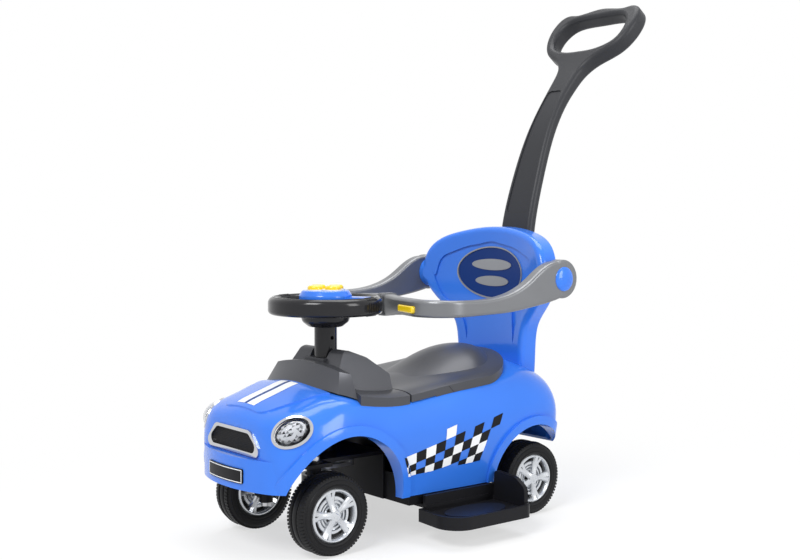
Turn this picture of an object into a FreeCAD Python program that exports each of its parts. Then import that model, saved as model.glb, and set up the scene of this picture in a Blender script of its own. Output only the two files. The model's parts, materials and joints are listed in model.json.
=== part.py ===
import FreeCAD, Part
import math
import os

# Push car for a small child: blue body on a black chassis, steered front wheels, lifting seat lid,
# two-part safety guard and a parent's push handle. Millimetres, front at -Y, up is +Z.

V = FreeCAD.Vector

# Fits and walls
RUN = 0.06
FREE = 0.4
WALL = 3.0

# Wheels
WHEEL_D = 124.0
WHEEL_W = 43.0
WHEELBASE = 410.0
TRACK_OUT = 252.0
CAP_R = 41.0
HUB_R = 11.0
AXLE_R = 5.0
NUT_W = 4.0
SPOKES = 5

# Body
BODY_HALF = 136.0
NOSE_Y = -304.0
TAIL_Y = 264.0
SKIRT_Z = 71.0
WAIST_Z = 140.0
HOOD_Z = 247.0
SEAM_Z = 213.0
FRONT_ARCH_R = 103.0
REAR_ARCH_R = 82.0
FLARE_W = 15.0
FLARE_OUT = 5.0
BUMPER_Y = -321.0
BUMPER_Z = 102.0
BUMPER_H = 48.0
PLATE_W = 96.0
PLATE_H = 22.0
GRILLE_Z = 152.5
GRILLE_H = 38.0
GRILLE_W = 168.0

# Headlights
LAMP_X = 111.0
LAMP_Y = -272.0
LAMP_Z = 192.0
LAMP_A = 32.0
LAMP_B = 24.0
LAMP_RING = 4.0
LAMP_OUT = 52.0
LAMP_UP = 26.0
LAMP_TILT = 26.0

# Seat and dash
SEAT_HALF = 124.0
SEAT_T = 12.0
SEAT_REAR_Y = 196.0
SEAT_STRAIGHT_Y = 100.0
LID_Y = -60.0
LID_GAP = 3.0
LID_OPEN = 40.0
HINGE_Y = -65.0
HINGE_Z = 239.0
HINGE_R = 2.5
BIN_HALF = 92.0
BIN_Y0 = -44.0
BIN_Y1 = 124.0
STORE_TOP = 231.0
SCREEN_Y = -158.0
SCREEN_TOP = 279.0

# Steering
COLUMN_Y = -135.0
COLUMN_R = 18.0
SHAFT_R = 10.0
KINGPIN_X = 68.0
KINGPIN_R = 5.0
ARM_L = 45.0
ROD_Z = 104.0
ROD_T = 6.0
LINK_PIN_R = 4.0
BEAM_Z = 127.0
BEAM_T = 6.0
RIM_R = 91.0
RIM_W = 17.0
RIM_Z = 351.0
RIM_H = 28.0
PANEL_R = 42.0
PANEL_Z = 388.5
BUTTON_R = 12.0
BUTTON_AT = 20.0
BUTTON_TRAVEL = 2.0
CROSS_HOLE_R = 3.0
CROSS_HOLE_Z = 314.0

# Backrest and guard
BACK_Y = 222.0
BACK_R = 360.0
BACK_T = 36.0
BACK_HALF = 157.0
BACK_TOP = 487.0
BADGE_Z = 406.0
BADGE_A = 81.0
BADGE_B = 44.0
BADGE_TRIM = 2.2
PIVOT_Y = 215.0
PIVOT_Z = 402.0
PIVOT_R = 6.0
ARM_IN = 161.0
ARM_T = 22.0
ARM_H = 25.0
ARM_Z = 350.0
GUARD_Y = -16.0
GUARD_SLOPE = 0.2557
LATCH_X = 103.0
LATCH_HALF = 26.0
LATCH_TRAVEL = 3.0

# Chassis and footrests
FLOOR_Z = 55.0
TUB_Y0 = -62.0
TUB_Y1 = 107.0
FOOT_OUT = 218.0
FOOT_Z = 30.0

# Handle
HANDLE_FOOT = 374.0
GRIP_HALF = 106.0
NECK_HALF = 25.0
NECK_Y = 432.0
NECK_Z = 780.0
LOOP_TILT = 36.7

FRONT_AXLE_Y = -WHEELBASE / 2
REAR_AXLE_Y = WHEELBASE / 2
AXLE_Z = WHEEL_D / 2
WHEEL_X = (TRACK_OUT - WHEEL_W) / 2
SIDES = {"left": 1, "right": -1}


# Small tools

def box(x0, x1, y0, y1, z0, z1):
    return Part.makeBox(x1 - x0, y1 - y0, z1 - z0, V(x0, y0, z0))


def rod(radius, start, end):
    return Part.makeCylinder(radius, (end - start).Length, start, end - start)


def fuse(shapes):
    return shapes[0].multiFuse(shapes[1:]).removeSplitter()


def flipped(shape):
    return shape.mirror(V(0, 0, 0), V(1, 0, 0))


def both(shape):
    return Part.makeCompound([shape, flipped(shape)])


def in_plane(plane, level):
    """The function that takes a drawing's two numbers to a point of the plane at this level."""
    places = {
        "xy": lambda u, v: V(u, v, level),
        "xz": lambda u, v: V(u, level, v),
        "yz": lambda u, v: V(level, u, v),
    }
    return places[plane]


def rounded_wire(points, radii, place):
    """Closed outline whose corners are rounded by tangent arcs."""
    count = len(points)
    ends = []
    for i in range(count):
        here = V(*points[i], 0)
        before = (V(*points[i - 1], 0) - here).normalize()
        after = (V(*points[(i + 1) % count], 0) - here).normalize()
        half = before.getAngle(after) / 2
        along = radii[i] / math.tan(half)
        middle = here + (before + after).normalize() * (radii[i] / math.sin(half) - radii[i])
        ends.append((here + before * along, middle, here + after * along))
    edges = []
    for i in range(count):
        first, middle, last = (place(p.x, p.y) for p in ends[i])
        if radii[i] > 0:
            edges.append(Part.Arc(first, middle, last).toShape())
        onward = place(ends[(i + 1) % count][0].x, ends[(i + 1) % count][0].y)
        if (onward - last).Length > 1e-6:
            edges.append(Part.makeLine(last, onward))
    return Part.Wire(edges)


def prism(points, radii, plane, low, high):
    if not isinstance(radii, (list, tuple)):
        radii = [radii] * len(points)
    face = Part.Face(rounded_wire(points, radii, in_plane(plane, low)))
    push = {"xy": V(0, 0, 1), "xz": V(0, 1, 0), "yz": V(1, 0, 0)}[plane]
    return face.extrude(push * (high - low))


def curve(points, closed=False):
    spline = Part.BSplineCurve()
    spline.interpolate(points, PeriodicFlag=closed)
    return spline.toShape()


def spline_prism(runs, plane, low, high):
    """Prism of an outline made of smooth runs, each starting where the one before it ends."""
    place = in_plane(plane, low)
    edges = []
    for run in runs:
        points = [place(u, v) for u, v in run]
        edges.append(Part.makeLine(*points) if len(points) == 2 else curve(points))
    push = {"xy": V(0, 0, 1), "xz": V(0, 1, 0), "yz": V(1, 0, 0)}[plane]
    return Part.Face(Part.Wire(edges)).extrude(push * (high - low))


def mirrored_run(half):
    """A run through the half outline's points and back through their mirror images."""
    return half + [(-u, v) for u, v in reversed(half) if abs(u) > 1e-9]


def turned(profile, radii, axis):
    """Solid of revolution; the profile's numbers are the place along the axis and the radius."""
    place = {"x": lambda u, r: V(u, 0, r), "z": lambda u, r: V(r, 0, u)}[axis]
    face = Part.Face(rounded_wire(profile, radii, place))
    return face.revolve(V(0, 0, 0), {"x": V(1, 0, 0), "z": V(0, 0, 1)}[axis], 360)


def ellipse_rod(a, b, low, high):
    edge = Part.Ellipse(V(0, 0, low), a, b).toShape()
    return Part.Face(Part.Wire(edge)).extrude(V(0, 0, high - low))


def dome(a, b, height):
    """Half of an ellipsoid standing on the plane z = 0."""
    half_ball = Part.makeSphere(1.0, V(0, 0, 0), V(0, 0, 1), 0, 90, 360)
    stretch = FreeCAD.Matrix()
    stretch.scale(a, b, height)
    return half_ball.transformGeometry(stretch)


def stood(shape, place, across, outward):
    """Copy with its Z axis turned to outward and its X axis to across."""
    up = outward.cross(across)
    turn = FreeCAD.Rotation(across, up, outward, "ZXY")
    copy = shape.copy()
    copy.Placement = FreeCAD.Placement(place, turn).multiply(copy.Placement)
    return copy


# Body form: half width, shoulder half width, shoulder height and crown height along the car

STATIONS = [
    (NOSE_Y, BODY_HALF - 58, BODY_HALF - 72, HOOD_Z - 66, HOOD_Z - 51),
    (NOSE_Y + 3, BODY_HALF - 43, BODY_HALF - 57, HOOD_Z - 57, HOOD_Z - 41),
    (NOSE_Y + 11, BODY_HALF - 27, BODY_HALF - 42, HOOD_Z - 50, HOOD_Z - 32),
    (NOSE_Y + 24, BODY_HALF - 15, BODY_HALF - 30, HOOD_Z - 44, HOOD_Z - 25),
    (NOSE_Y + 46, BODY_HALF - 6, BODY_HALF - 21, HOOD_Z - 38, HOOD_Z - 17),
    (NOSE_Y + 74, BODY_HALF - 1, BODY_HALF - 16, HOOD_Z - 31, HOOD_Z - 8),
    (NOSE_Y + 104, BODY_HALF, BODY_HALF - 13, HOOD_Z - 23, HOOD_Z),
    (NOSE_Y + 150, BODY_HALF, BODY_HALF - 11, SEAM_Z + 7, SEAM_Z + 24),
    (NOSE_Y + 220, BODY_HALF, BODY_HALF - 11, SEAM_Z, SEAM_Z + 12),
    (TAIL_Y - 264, BODY_HALF, BODY_HALF - 11, SEAM_Z + 8, SEAM_Z + 18),
    (TAIL_Y - 184, BODY_HALF + 1, BODY_HALF - 11, SEAM_Z + 15, SEAM_Z + 31),
    (TAIL_Y - 124, BODY_HALF + 2, BODY_HALF - 12, SEAM_Z + 21, SEAM_Z + 44),
    (TAIL_Y - 66, BODY_HALF + 1, BODY_HALF - 16, SEAM_Z + 24, SEAM_Z + 51),
    (TAIL_Y - 36, BODY_HALF - 2, BODY_HALF - 21, SEAM_Z + 17, SEAM_Z + 42),
    (TAIL_Y - 15, BODY_HALF - 8, BODY_HALF - 28, SEAM_Z + 8, SEAM_Z + 29),
    (TAIL_Y - 4, BODY_HALF - 17, BODY_HALF - 38, SEAM_Z - 3, SEAM_Z + 15),
    (TAIL_Y, BODY_HALF - 31, BODY_HALF - 52, SEAM_Z - 14, SEAM_Z + 1),
]
FORM_BASE_Z = 20.0


def body_section(station, grow, y):
    half, shoulder, shoulder_z, crown = station
    half_outline = [
        (half - 10 + grow, FORM_BASE_Z),
        (half + grow, WAIST_Z),
        (half - 2.5 + grow, shoulder_z - 20 + grow / 2),
        (shoulder + grow * 0.7, shoulder_z + grow * 0.7),
        (shoulder * 0.6, shoulder_z + 0.7 * (crown - shoulder_z) + grow),
        (0, crown + grow),
    ]
    run = [V(u, y, v) for u, v in mirrored_run(half_outline)]
    return Part.Wire([curve(run), Part.makeLine(run[-1], run[0])])


def body_form(grow):
    """Smooth outer form of the body, grown outward or inward by the same amount all round."""
    sections = []
    last = len(STATIONS) - 1
    for i, station in enumerate(STATIONS):
        shift = {0: -grow, last: grow}.get(i, 0)
        sections.append(body_section(station[1:], grow, station[0] + shift))
    return Part.makeLoft(sections, True, False)


FORM = body_form(0)
INSIDE = body_form(-WALL)


def bumper(inset):
    """Plan of the bumper pulled in by the wall, from its corners to the middle of the front."""
    half = [
        (BODY_HALF - 6 - inset, NOSE_Y + 64),
        (BODY_HALF - 16 - inset, NOSE_Y + 32),
        (BODY_HALF - 33 - inset, BUMPER_Y + 25 + inset * 0.7),
        (BODY_HALF - 60, BUMPER_Y + 12 + inset),
        (BODY_HALF - 96, BUMPER_Y + 3 + inset),
        (0, BUMPER_Y + inset),
    ]
    run = mirrored_run(half)
    top = BUMPER_Z + BUMPER_H - inset
    low = BUMPER_Z if inset == 0 else BUMPER_Z - 10
    return spline_prism([run, [run[-1], run[0]]], "xy", low, top)


def arch(radius, y, z):
    return rod(radius, V(-300, y, z), V(300, y, z))


FRONT_ARCH = (FRONT_AXLE_Y + 20, AXLE_Z + 16)
REAR_ARCH = (REAR_AXLE_Y - 12, AXLE_Z + 14)


def under_cut():
    """Everything below the body's lower edge: bumper line, both wheel arches, skirt and tail line."""
    return fuse([
        box(-300, 300, NOSE_Y - 60, FRONT_ARCH[0], 0, BUMPER_Z),
        box(-300, 300, NOSE_Y - 60, TAIL_Y + 60, 0, SKIRT_Z),
        box(-300, 300, REAR_ARCH[0], TAIL_Y + 60, 0, SKIRT_Z + 46),
        arch(FRONT_ARCH_R, *FRONT_ARCH),
        arch(REAR_ARCH_R, *REAR_ARCH),
    ])


def flare(radius, place):
    """Raised lip around a wheel arch with the flange turned in behind it."""
    lip = body_form(FLARE_OUT).cut(INSIDE).common(arch(radius + FLARE_W, *place))
    flange = FORM.common(arch(radius + WALL, *place))
    flange = flange.cut(box(-BODY_HALF + 24, BODY_HALF - 24, -400, 400, 0, 400))
    return [lip, flange]


def hood_panel():
    """Raised panel down the middle of the hood."""
    outline = [(-92, NOSE_Y + 112), (92, NOSE_Y + 112), (58, NOSE_Y + 14), (-58, NOSE_Y + 14)]
    plan = prism(outline, [0, 0, 26, 26], "xy", HOOD_Z - 60, HOOD_Z + 30)
    return body_form(2.5).cut(INSIDE).common(plan)


def seat_plan(gap, y0, low, high):
    """Plan of the seat: straight sides and a half ellipse at the back."""
    half = SEAT_HALF - gap
    reach = SEAT_REAR_Y - SEAT_STRAIGHT_Y - gap
    steps = 12
    back = []
    for i in range(steps + 1):
        angle = math.pi * i / steps
        back.append((half * math.cos(angle), SEAT_STRAIGHT_Y + reach * math.sin(angle)))
    runs = [
        [(half, y0), (half, SEAT_STRAIGHT_Y)],
        back,
        [(-half, SEAT_STRAIGHT_Y), (-half, y0)],
        [(-half, y0), (half, y0)],
    ]
    return spline_prism(runs, "xy", low, high)


def grille_outline(inset, y0, y1):
    low = GRILLE_W / 2 - inset
    top = GRILLE_W / 2 - 34 - inset
    z0 = GRILLE_Z + inset
    z1 = GRILLE_Z + GRILLE_H - inset
    points = [(-low, z0), (low, z0), (top, z1), (-top, z1)]
    return prism(points, [9, 9, 17 - inset, 17 - inset], "xz", y0, y1)


def in_lamp(shape):
    """Places a shape drawn on the lamp's own axes at the left front corner of the body."""
    out, up, tilt = (math.radians(angle) for angle in (LAMP_OUT, LAMP_UP, LAMP_TILT))
    outward = V(math.sin(out) * math.cos(up), -math.cos(out) * math.cos(up), math.sin(up))
    level = V(math.cos(out), math.sin(out), 0)
    across = level * math.cos(tilt) + outward.cross(level) * math.sin(tilt)
    return stood(shape, V(LAMP_X, LAMP_Y, LAMP_Z), across, outward)


def lamp_rod(inset):
    return in_lamp(ellipse_rod(LAMP_A - inset, LAMP_B - inset, -40, 40))


def body_shell():
    shell = fuse([FORM, bumper(0)]).cut(INSIDE).cut(bumper(WALL))
    extras = flare(FRONT_ARCH_R, FRONT_ARCH) + flare(REAR_ARCH_R, REAR_ARCH) + [hood_panel()]
    shell = fuse([shell] + extras).cut(under_cut())
    shell = shell.cut(seat_plan(-FREE, SCREEN_Y - 20, SEAM_Z + 40, SEAM_Z + 120))
    shell = shell.cut(box(-BIN_HALF, BIN_HALF, BIN_Y0, BIN_Y1, SKIRT_Z, HOOD_Z + 60))
    shell = shell.cut(rod(COLUMN_R + 3, V(0, COLUMN_Y, SEAM_Z - 20), V(0, COLUMN_Y, SEAM_Z + 60)))
    shell = shell.cut(lid_lug(1.0)).cut(hinge_pins())
    shell = shell.cut(grille_outline(0, NOSE_Y - 30, NOSE_Y + 30))
    return shell.cut(both(lamp_rod(0)))


# Front trim

def grille_frame():
    ring = grille_outline(0, NOSE_Y - 30, NOSE_Y + 30).cut(grille_outline(5, NOSE_Y - 40, NOSE_Y + 40))
    return body_form(3).cut(body_form(-5)).common(ring)


def grille_mesh():
    return body_form(-1).cut(body_form(-5)).common(grille_outline(5, NOSE_Y - 30, NOSE_Y + 30))


def number_plate():
    low = BUMPER_Z + 10
    half = PLATE_W / 2
    outline = [(-half, low), (half, low), (half, low + PLATE_H), (-half, low + PLATE_H)]
    sheet = prism(outline, 3, "xz", BUMPER_Y - 3, BUMPER_Y + 25)
    ahead = bumper(0).copy()
    ahead.translate(V(0, -2.5, 0))
    return sheet.common(ahead).cut(bumper(0))


def lamp_bezel():
    """Ring that follows the rounded corner of the body."""
    return grown_layer(-6, 2.5).common(lamp_rod(0).cut(lamp_rod(LAMP_RING)))


def lamp_reflector():
    a, b = LAMP_A - LAMP_RING, LAMP_B - LAMP_RING
    bowl = dome(a, b, 14).cut(dome(a - 2, b - 2, 12)).mirror(V(0, 0, 0), V(0, 0, 1))
    bowl.translate(V(0, 0, -4))
    return in_lamp(bowl)


def lamp_lens():
    return grown_layer(-0.5, 1.5).common(lamp_rod(LAMP_RING))


# Seat and dash

def grown_layer(low, high):
    return body_form(high).cut(body_form(low) if low else FORM)


def column_hole(gap):
    return rod(COLUMN_R + gap, V(0, COLUMN_Y, SEAM_Z - 30), V(0, COLUMN_Y, SCREEN_TOP + 40))


def dash_pod():
    """Rounded pod beside the steering column, high at the front and falling to the seat."""
    profile = [
        (SCREEN_Y + FREE, SEAM_Z), (SCREEN_Y + FREE, HOOD_Z + 22), (COLUMN_Y - 5, SCREEN_TOP + 21),
        (COLUMN_Y + 34, SCREEN_TOP + 6), (LID_Y - LID_GAP, SCREEN_TOP - 22), (LID_Y - LID_GAP, SEAM_Z),
    ]
    along = prism(profile, [0, 6, 12, 20, 5, 0], "yz", 10, 110)
    across = prism(
        [(17, SEAM_Z), (24, SCREEN_TOP + 22), (56, SCREEN_TOP + 22), (88, SEAM_Z)],
        [0, 8, 14, 0], "xz", SCREEN_Y, LID_Y,
    )
    return along.common(across)


def lid_lug(gap):
    """Hinge lug of the seat lid; with a gap it is the room the lug turns in."""
    reach = 8 + gap
    eye = rod(reach, V(22 - gap, HINGE_Y, HINGE_Z), V(34 + gap, HINGE_Y, HINGE_Z))
    neck = box(22 - gap, 34 + gap, HINGE_Y, LID_Y + 4 + gap, HINGE_Z - reach, HINGE_Z + 2)
    return both(fuse([eye, neck]))


def dash_cowl():
    plan = seat_plan(0, SCREEN_Y + FREE, SEAM_Z - 60, HOOD_Z + 90)
    plan = plan.common(box(-200, 200, -400, LID_Y - LID_GAP, 0, 500))
    foot = box(-26, 26, SCREEN_Y + FREE, COLUMN_Y + 26, SEAM_Z, SCREEN_TOP + 4)
    cowl = fuse([grown_layer(0, SEAT_T).common(plan), foot, dash_pod(), flipped(dash_pod())])
    cowl = cowl.cut(FORM).cut(column_hole(FREE)).cut(lid_lug(1.0))
    return cowl.cut(hinge_pins())


def hinge_pins():
    pin = rod(HINGE_R, V(17, HINGE_Y, HINGE_Z), V(39, HINGE_Y, HINGE_Z))
    return both(pin)


def windscreen():
    """Raked screen, bowed forward, with a facet down each side."""
    def plan(z, side_half, back_half, middle_y, end_y):
        left, right = V(-side_half, end_y, z), V(side_half, end_y, z)
        bow = Part.Arc(left, V(0, middle_y, z), right).toShape()
        corners = [right, V(back_half, SCREEN_Y, z), V(-back_half, SCREEN_Y, z), left]
        return Part.Wire([bow] + [Part.makeLine(*pair) for pair in zip(corners, corners[1:])])
    low = plan(SEAM_Z, 112, SEAT_HALF, SCREEN_Y - 68, SCREEN_Y - 34)
    top = plan(SCREEN_TOP + 3, 80, 92, SCREEN_Y - 14, SCREEN_Y - 7)
    screen = Part.makeLoft([low, top], True, True)
    roof = rod(400, V(0, SCREEN_Y - 100, SCREEN_TOP - 400), V(0, SCREEN_Y + 10, SCREEN_TOP - 400))
    return screen.common(roof).cut(body_form(2.5))


def seat_dome():
    """Crowned cushion of the seat with its hump at the back."""
    crown = [(LID_Y + 16, 23), (15, 30), (80, 44), (140, 52), (168, 47), (183, 36)]
    sections = []
    for y, height in crown:
        past = max(0.0, (y - SEAT_STRAIGHT_Y - 10) / (SEAT_REAR_Y - SEAT_STRAIGHT_Y - 18))
        half = (SEAT_HALF - 27) * math.sqrt(max(0.05, 1 - past * past))
        top = SEAM_Z + height + 0.15 * max(0, y) * (1 if y < 150 else 150 / y)
        low = top - height * 0.75
        run = mirrored_run([(half, low), (half * 0.72, low + 0.62 * (top - low)), (0, top)])
        points = [V(u, y, v) for u, v in run]
        sections.append(Part.Wire([curve(points), Part.makeLine(points[-1], points[0])]))
    return Part.makeLoft(sections, True, False)


def seat_lid():
    plan = seat_plan(0, LID_Y, SEAM_Z - 60, HOOD_Z + 90)
    rim = grown_layer(0, SEAT_T).common(plan)
    lid = fuse([rim, seat_dome().cut(FORM)])
    lip_room = box(-BIN_HALF - 9, BIN_HALF + 9, LID_Y - 20, BIN_Y1 + 9, 0, 500)
    swing_room = box(-200, 200, LID_Y - 20, LID_Y + 50, 0, 500)
    lid = lid.cut(body_form(WALL + FREE).common(lip_room)).cut(body_form(2).common(swing_room))
    lid = lid.cut(body_form(FREE)).cut(box(-BIN_HALF, BIN_HALF, BIN_Y0, BIN_Y1, 0, STORE_TOP))
    lid = fuse([lid, lid_lug(0)])
    return lid.cut(rod(HINGE_R + RUN, V(-60, HINGE_Y, HINGE_Z), V(60, HINGE_Y, HINGE_Z)))


def storage_bin():
    low = FLOOR_Z + WALL
    outer = box(-BIN_HALF, BIN_HALF, BIN_Y0, BIN_Y1, low, HOOD_Z + 30)
    inner = box(-BIN_HALF + WALL, BIN_HALF - WALL, BIN_Y0 + WALL, BIN_Y1 - WALL, low + WALL, HOOD_Z + 40)
    tub = outer.cut(inner).common(body_form(WALL))
    around = box(-BIN_HALF - 8, BIN_HALF + 8, BIN_Y0 - 8, BIN_Y1 + 8, SEAM_Z - 40, 400)
    lip = grown_layer(0, WALL).common(around)
    return fuse([tub, lip.cut(inner)])


# Chassis, axles and footrests

def chassis():
    room = body_form(-WALL - FREE)
    hollow = body_form(-2 * WALL - FREE)
    tub = room.common(box(-200, 200, TUB_Y0, TUB_Y1, FLOOR_Z, FLOOR_Z + 45))
    tub = tub.cut(hollow.common(box(-200, 200, TUB_Y0 + WALL, TUB_Y1 - WALL, FLOOR_Z + WALL, 200)))
    wall = box(-58, 58, TUB_Y0 - WALL, TUB_Y0, FLOOR_Z, BEAM_Z)
    deck = box(-58, 58, NOSE_Y + 8, TUB_Y0, BEAM_Z, BEAM_Z + BEAM_T)
    beam = box(-KINGPIN_X - 18, KINGPIN_X + 18, FRONT_AXLE_Y - 22, FRONT_AXLE_Y + 22, BEAM_Z, BEAM_Z + BEAM_T)
    rear = box(-70, 70, TUB_Y1 - WALL, REAR_AXLE_Y + 30, FLOOR_Z, FLOOR_Z + WALL)
    pieces = [tub, wall, deck, beam, rear]
    for side in SIDES.values():
        x = side * KINGPIN_X
        pieces.append(rod(12, V(x, FRONT_AXLE_Y, BEAM_Z), V(x, FRONT_AXLE_Y, BEAM_Z + 10)))
        inner, outer = side * 60 - 10, side * 60 + 10
        pieces.append(box(inner, outer, REAR_AXLE_Y - 12, REAR_AXLE_Y + 12, FLOOR_Z, AXLE_Z + 14))
    pieces.append(rod(SHAFT_R + 6, V(0, COLUMN_Y, BEAM_Z), V(0, COLUMN_Y, BEAM_Z + 18)))
    frame = fuse(pieces)
    for side in SIDES.values():
        x = side * KINGPIN_X
        frame = frame.cut(rod(KINGPIN_R, V(x, FRONT_AXLE_Y, BEAM_Z - 5), V(x, FRONT_AXLE_Y, BEAM_Z + 30)))
    frame = frame.cut(rod(SHAFT_R + RUN, V(0, COLUMN_Y, BEAM_Z - 5), V(0, COLUMN_Y, BEAM_Z + 40)))
    frame = frame.cut(rod(AXLE_R, V(-90, REAR_AXLE_Y, AXLE_Z), V(90, REAR_AXLE_Y, AXLE_Z)))
    bin_room = box(-BIN_HALF - FREE, BIN_HALF + FREE, BIN_Y0 - FREE, BIN_Y1 + FREE, FLOOR_Z + WALL, 300)
    return frame.cut(bin_room).cut(footrest_screws())


def footrest_screws():
    """Screws up through both footrest flanges into the chassis floor."""
    screws = []
    for side in SIDES.values():
        for y in (-24, 78):
            x = side * 106
            shank = rod(3, V(x, y, FLOOR_Z - 5), V(x, y, FLOOR_Z + WALL))
            head = rod(6, V(x, y, FLOOR_Z - 8), V(x, y, FLOOR_Z - 5))
            screws.append(shank.fuse(head).removeSplitter())
    return Part.makeCompound(screws)


def footrest(side):
    out = FOOT_OUT
    outline = [(128, -50), (out, -58), (out, 112), (128, 112)]
    inner = [(134, -44), (out - 6, -51), (out - 6, 104), (134, 104)]
    radii = [2, 38, 14, 2]
    rim = [2, 32, 8, 2]
    tray = prism(outline, radii, "xy", FOOT_Z, FOOT_Z + 20)
    tray = tray.cut(prism(inner, rim, "xy", FOOT_Z + 14, FOOT_Z + 30))
    tray = tray.cut(prism(inner, rim, "xy", FOOT_Z - 10, FOOT_Z + 10))
    heel = [(134, FOOT_Z + 14), (out - 12, FOOT_Z + 14), (out - 12, 74), (out - 34, 88), (136, 92)]
    tray = tray.fuse(prism(heel, [0, 0, 14, 14, 6], "xz", 104, 112))
    flange = box(92, 136, -40, 92, FLOOR_Z - 5, FLOOR_Z)
    web = box(128, 134, -40, 112, FOOT_Z + 10, SKIRT_Z - 1)
    step = fuse([tray, flange, web]).cut(footrest_screws())
    return step if side > 0 else flipped(step)


def foot_pad(side):
    pad = ellipse_rod(58, 30, 0, 2)
    pad.rotate(V(0, 0, 0), V(0, 0, 1), 90)
    pad.translate(V(side * 174, 28, FOOT_Z + 14))
    return pad


def rear_axle():
    end = WHEEL_X + WHEEL_W / 2 - 2
    return rod(AXLE_R, V(-end, REAR_AXLE_Y, AXLE_Z), V(end, REAR_AXLE_Y, AXLE_Z))


def ring_on_axle(radius, y, x0, x1):
    ring = rod(radius, V(x0, y, AXLE_Z), V(x1, y, AXLE_Z))
    return ring.cut(rod(AXLE_R, V(x0 - 1, y, AXLE_Z), V(x1 + 1, y, AXLE_Z)))


NUT_X = WHEEL_X + WHEEL_W / 2 - 7


def axle_nut(y):
    return ring_on_axle(8.5, y, NUT_X + 0.3, NUT_X + 0.3 + NUT_W)


def rear_spacers():
    return both(ring_on_axle(9, REAR_AXLE_Y, 70, WHEEL_X - WHEEL_W / 2 - 0.3))


def kingpins():
    pins = []
    for side in SIDES.values():
        x = side * KINGPIN_X
        shank = rod(KINGPIN_R, V(x, FRONT_AXLE_Y, 42), V(x, FRONT_AXLE_Y, BEAM_Z + 16))
        head = rod(8.5, V(x, FRONT_AXLE_Y, 42), V(x, FRONT_AXLE_Y, 47.7))
        pins.append(shank.fuse(head).removeSplitter())
    return Part.makeCompound(pins)


def kingpin_nuts():
    z = BEAM_Z + 10
    nut = rod(9, V(KINGPIN_X, FRONT_AXLE_Y, z), V(KINGPIN_X, FRONT_AXLE_Y, z + 6))
    return both(nut.cut(rod(KINGPIN_R, V(KINGPIN_X, FRONT_AXLE_Y, z - 1), V(KINGPIN_X, FRONT_AXLE_Y, z + 9))))


# Wheels, made at the origin with the outer face toward +X

def tyre_form():
    h = WHEEL_W / 2
    r = WHEEL_D / 2
    seat = CAP_R + FREE
    profile = [
        (-h, seat + 2), (-h + 1, r - 9), (-h + 7, r), (h - 7, r), (h - 1, r - 9), (h, seat + 2), (h - 3, seat),
        (4, seat), (4, HUB_R), (h - 7, HUB_R), (h - 7, AXLE_R + RUN), (-h, AXLE_R + RUN), (-h, HUB_R),
        (-4, HUB_R), (-4, seat), (-h + 3, seat),
    ]
    radii = [0, 6, 5, 5, 6, 0, 0, 0, 0, 0, 0, 0, 0, 0, 0, 0]
    tyre = turned(profile, radii, "x")
    for x in (-6, 6):
        groove = turned([(x - 1.2, r - 2), (x + 1.2, r - 2), (x + 1.2, r + 2), (x - 1.2, r + 2)], [0] * 4, "x")
        tyre = tyre.cut(groove)
    return tyre


def spoke_window(gap_angle, r0, r1):
    """Opening between two spokes, as a slice of a ring."""
    points = [(-gap_angle / 2, r0), (-gap_angle / 2, r1), (gap_angle / 2, r1), (gap_angle / 2, r0)]
    corners = [(r * math.sin(math.radians(a)), r * math.cos(math.radians(a))) for a, r in points]
    return prism(corners, 2, "yz", -40, 40)


def cap_form(closed):
    """Hub cap seen from outside; the closed one covers the axle end, the open one lets the hub through."""
    h = WHEEL_W / 2
    edge = [
        (h - 9.5, 30), (h - 3.5, 33.5), (h - 1, 37), (h - 3, CAP_R), (4, CAP_R), (4, CAP_R - 3), (h - 12.3, 31),
    ]
    if closed:
        back = [(h - 12.3, HUB_R + 0.5), (h - 1.5, HUB_R + 0.5), (h - 1.5, 0), (h + 1.5, 0)]
        centre = [(h + 1.5, 10), (h - 0.5, 15), (h - 8.5, 17)]
        profile = edge + back + centre
    else:
        profile = edge + [(h - 12.3, HUB_R + 0.5), (h - 8.5, HUB_R + 0.5)]
    cap = turned(profile, [0] * len(profile), "x")
    pitch = 360 / SPOKES
    for i in range(SPOKES):
        window = spoke_window(pitch * 0.5, 18.5, 31)
        window.rotate(V(0, 0, 0), V(1, 0, 0), pitch * i)
        slot = prism([(-1.1, 19), (1.1, 19), (1.1, 31), (-1.1, 31)], 1, "yz", -40, 40)
        slot.rotate(V(0, 0, 0), V(1, 0, 0), pitch * (i + 0.5))
        cap = cap.cut(window).cut(slot)
    return cap


def wheel_pieces(end, side):
    y = {"front": FRONT_AXLE_Y, "rear": REAR_AXLE_Y}[end]
    caps = Part.makeCompound([cap_form(True), flipped(cap_form(False))])
    pieces = {"tyre": tyre_form(), "hub_caps": caps}
    placed = {}
    for name, piece in pieces.items():
        piece.translate(V(WHEEL_X, y, AXLE_Z))
        placed[f"{end}_{side}_{name}"] = piece if SIDES[side] > 0 else flipped(piece)
    return placed


# Steering

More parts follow.
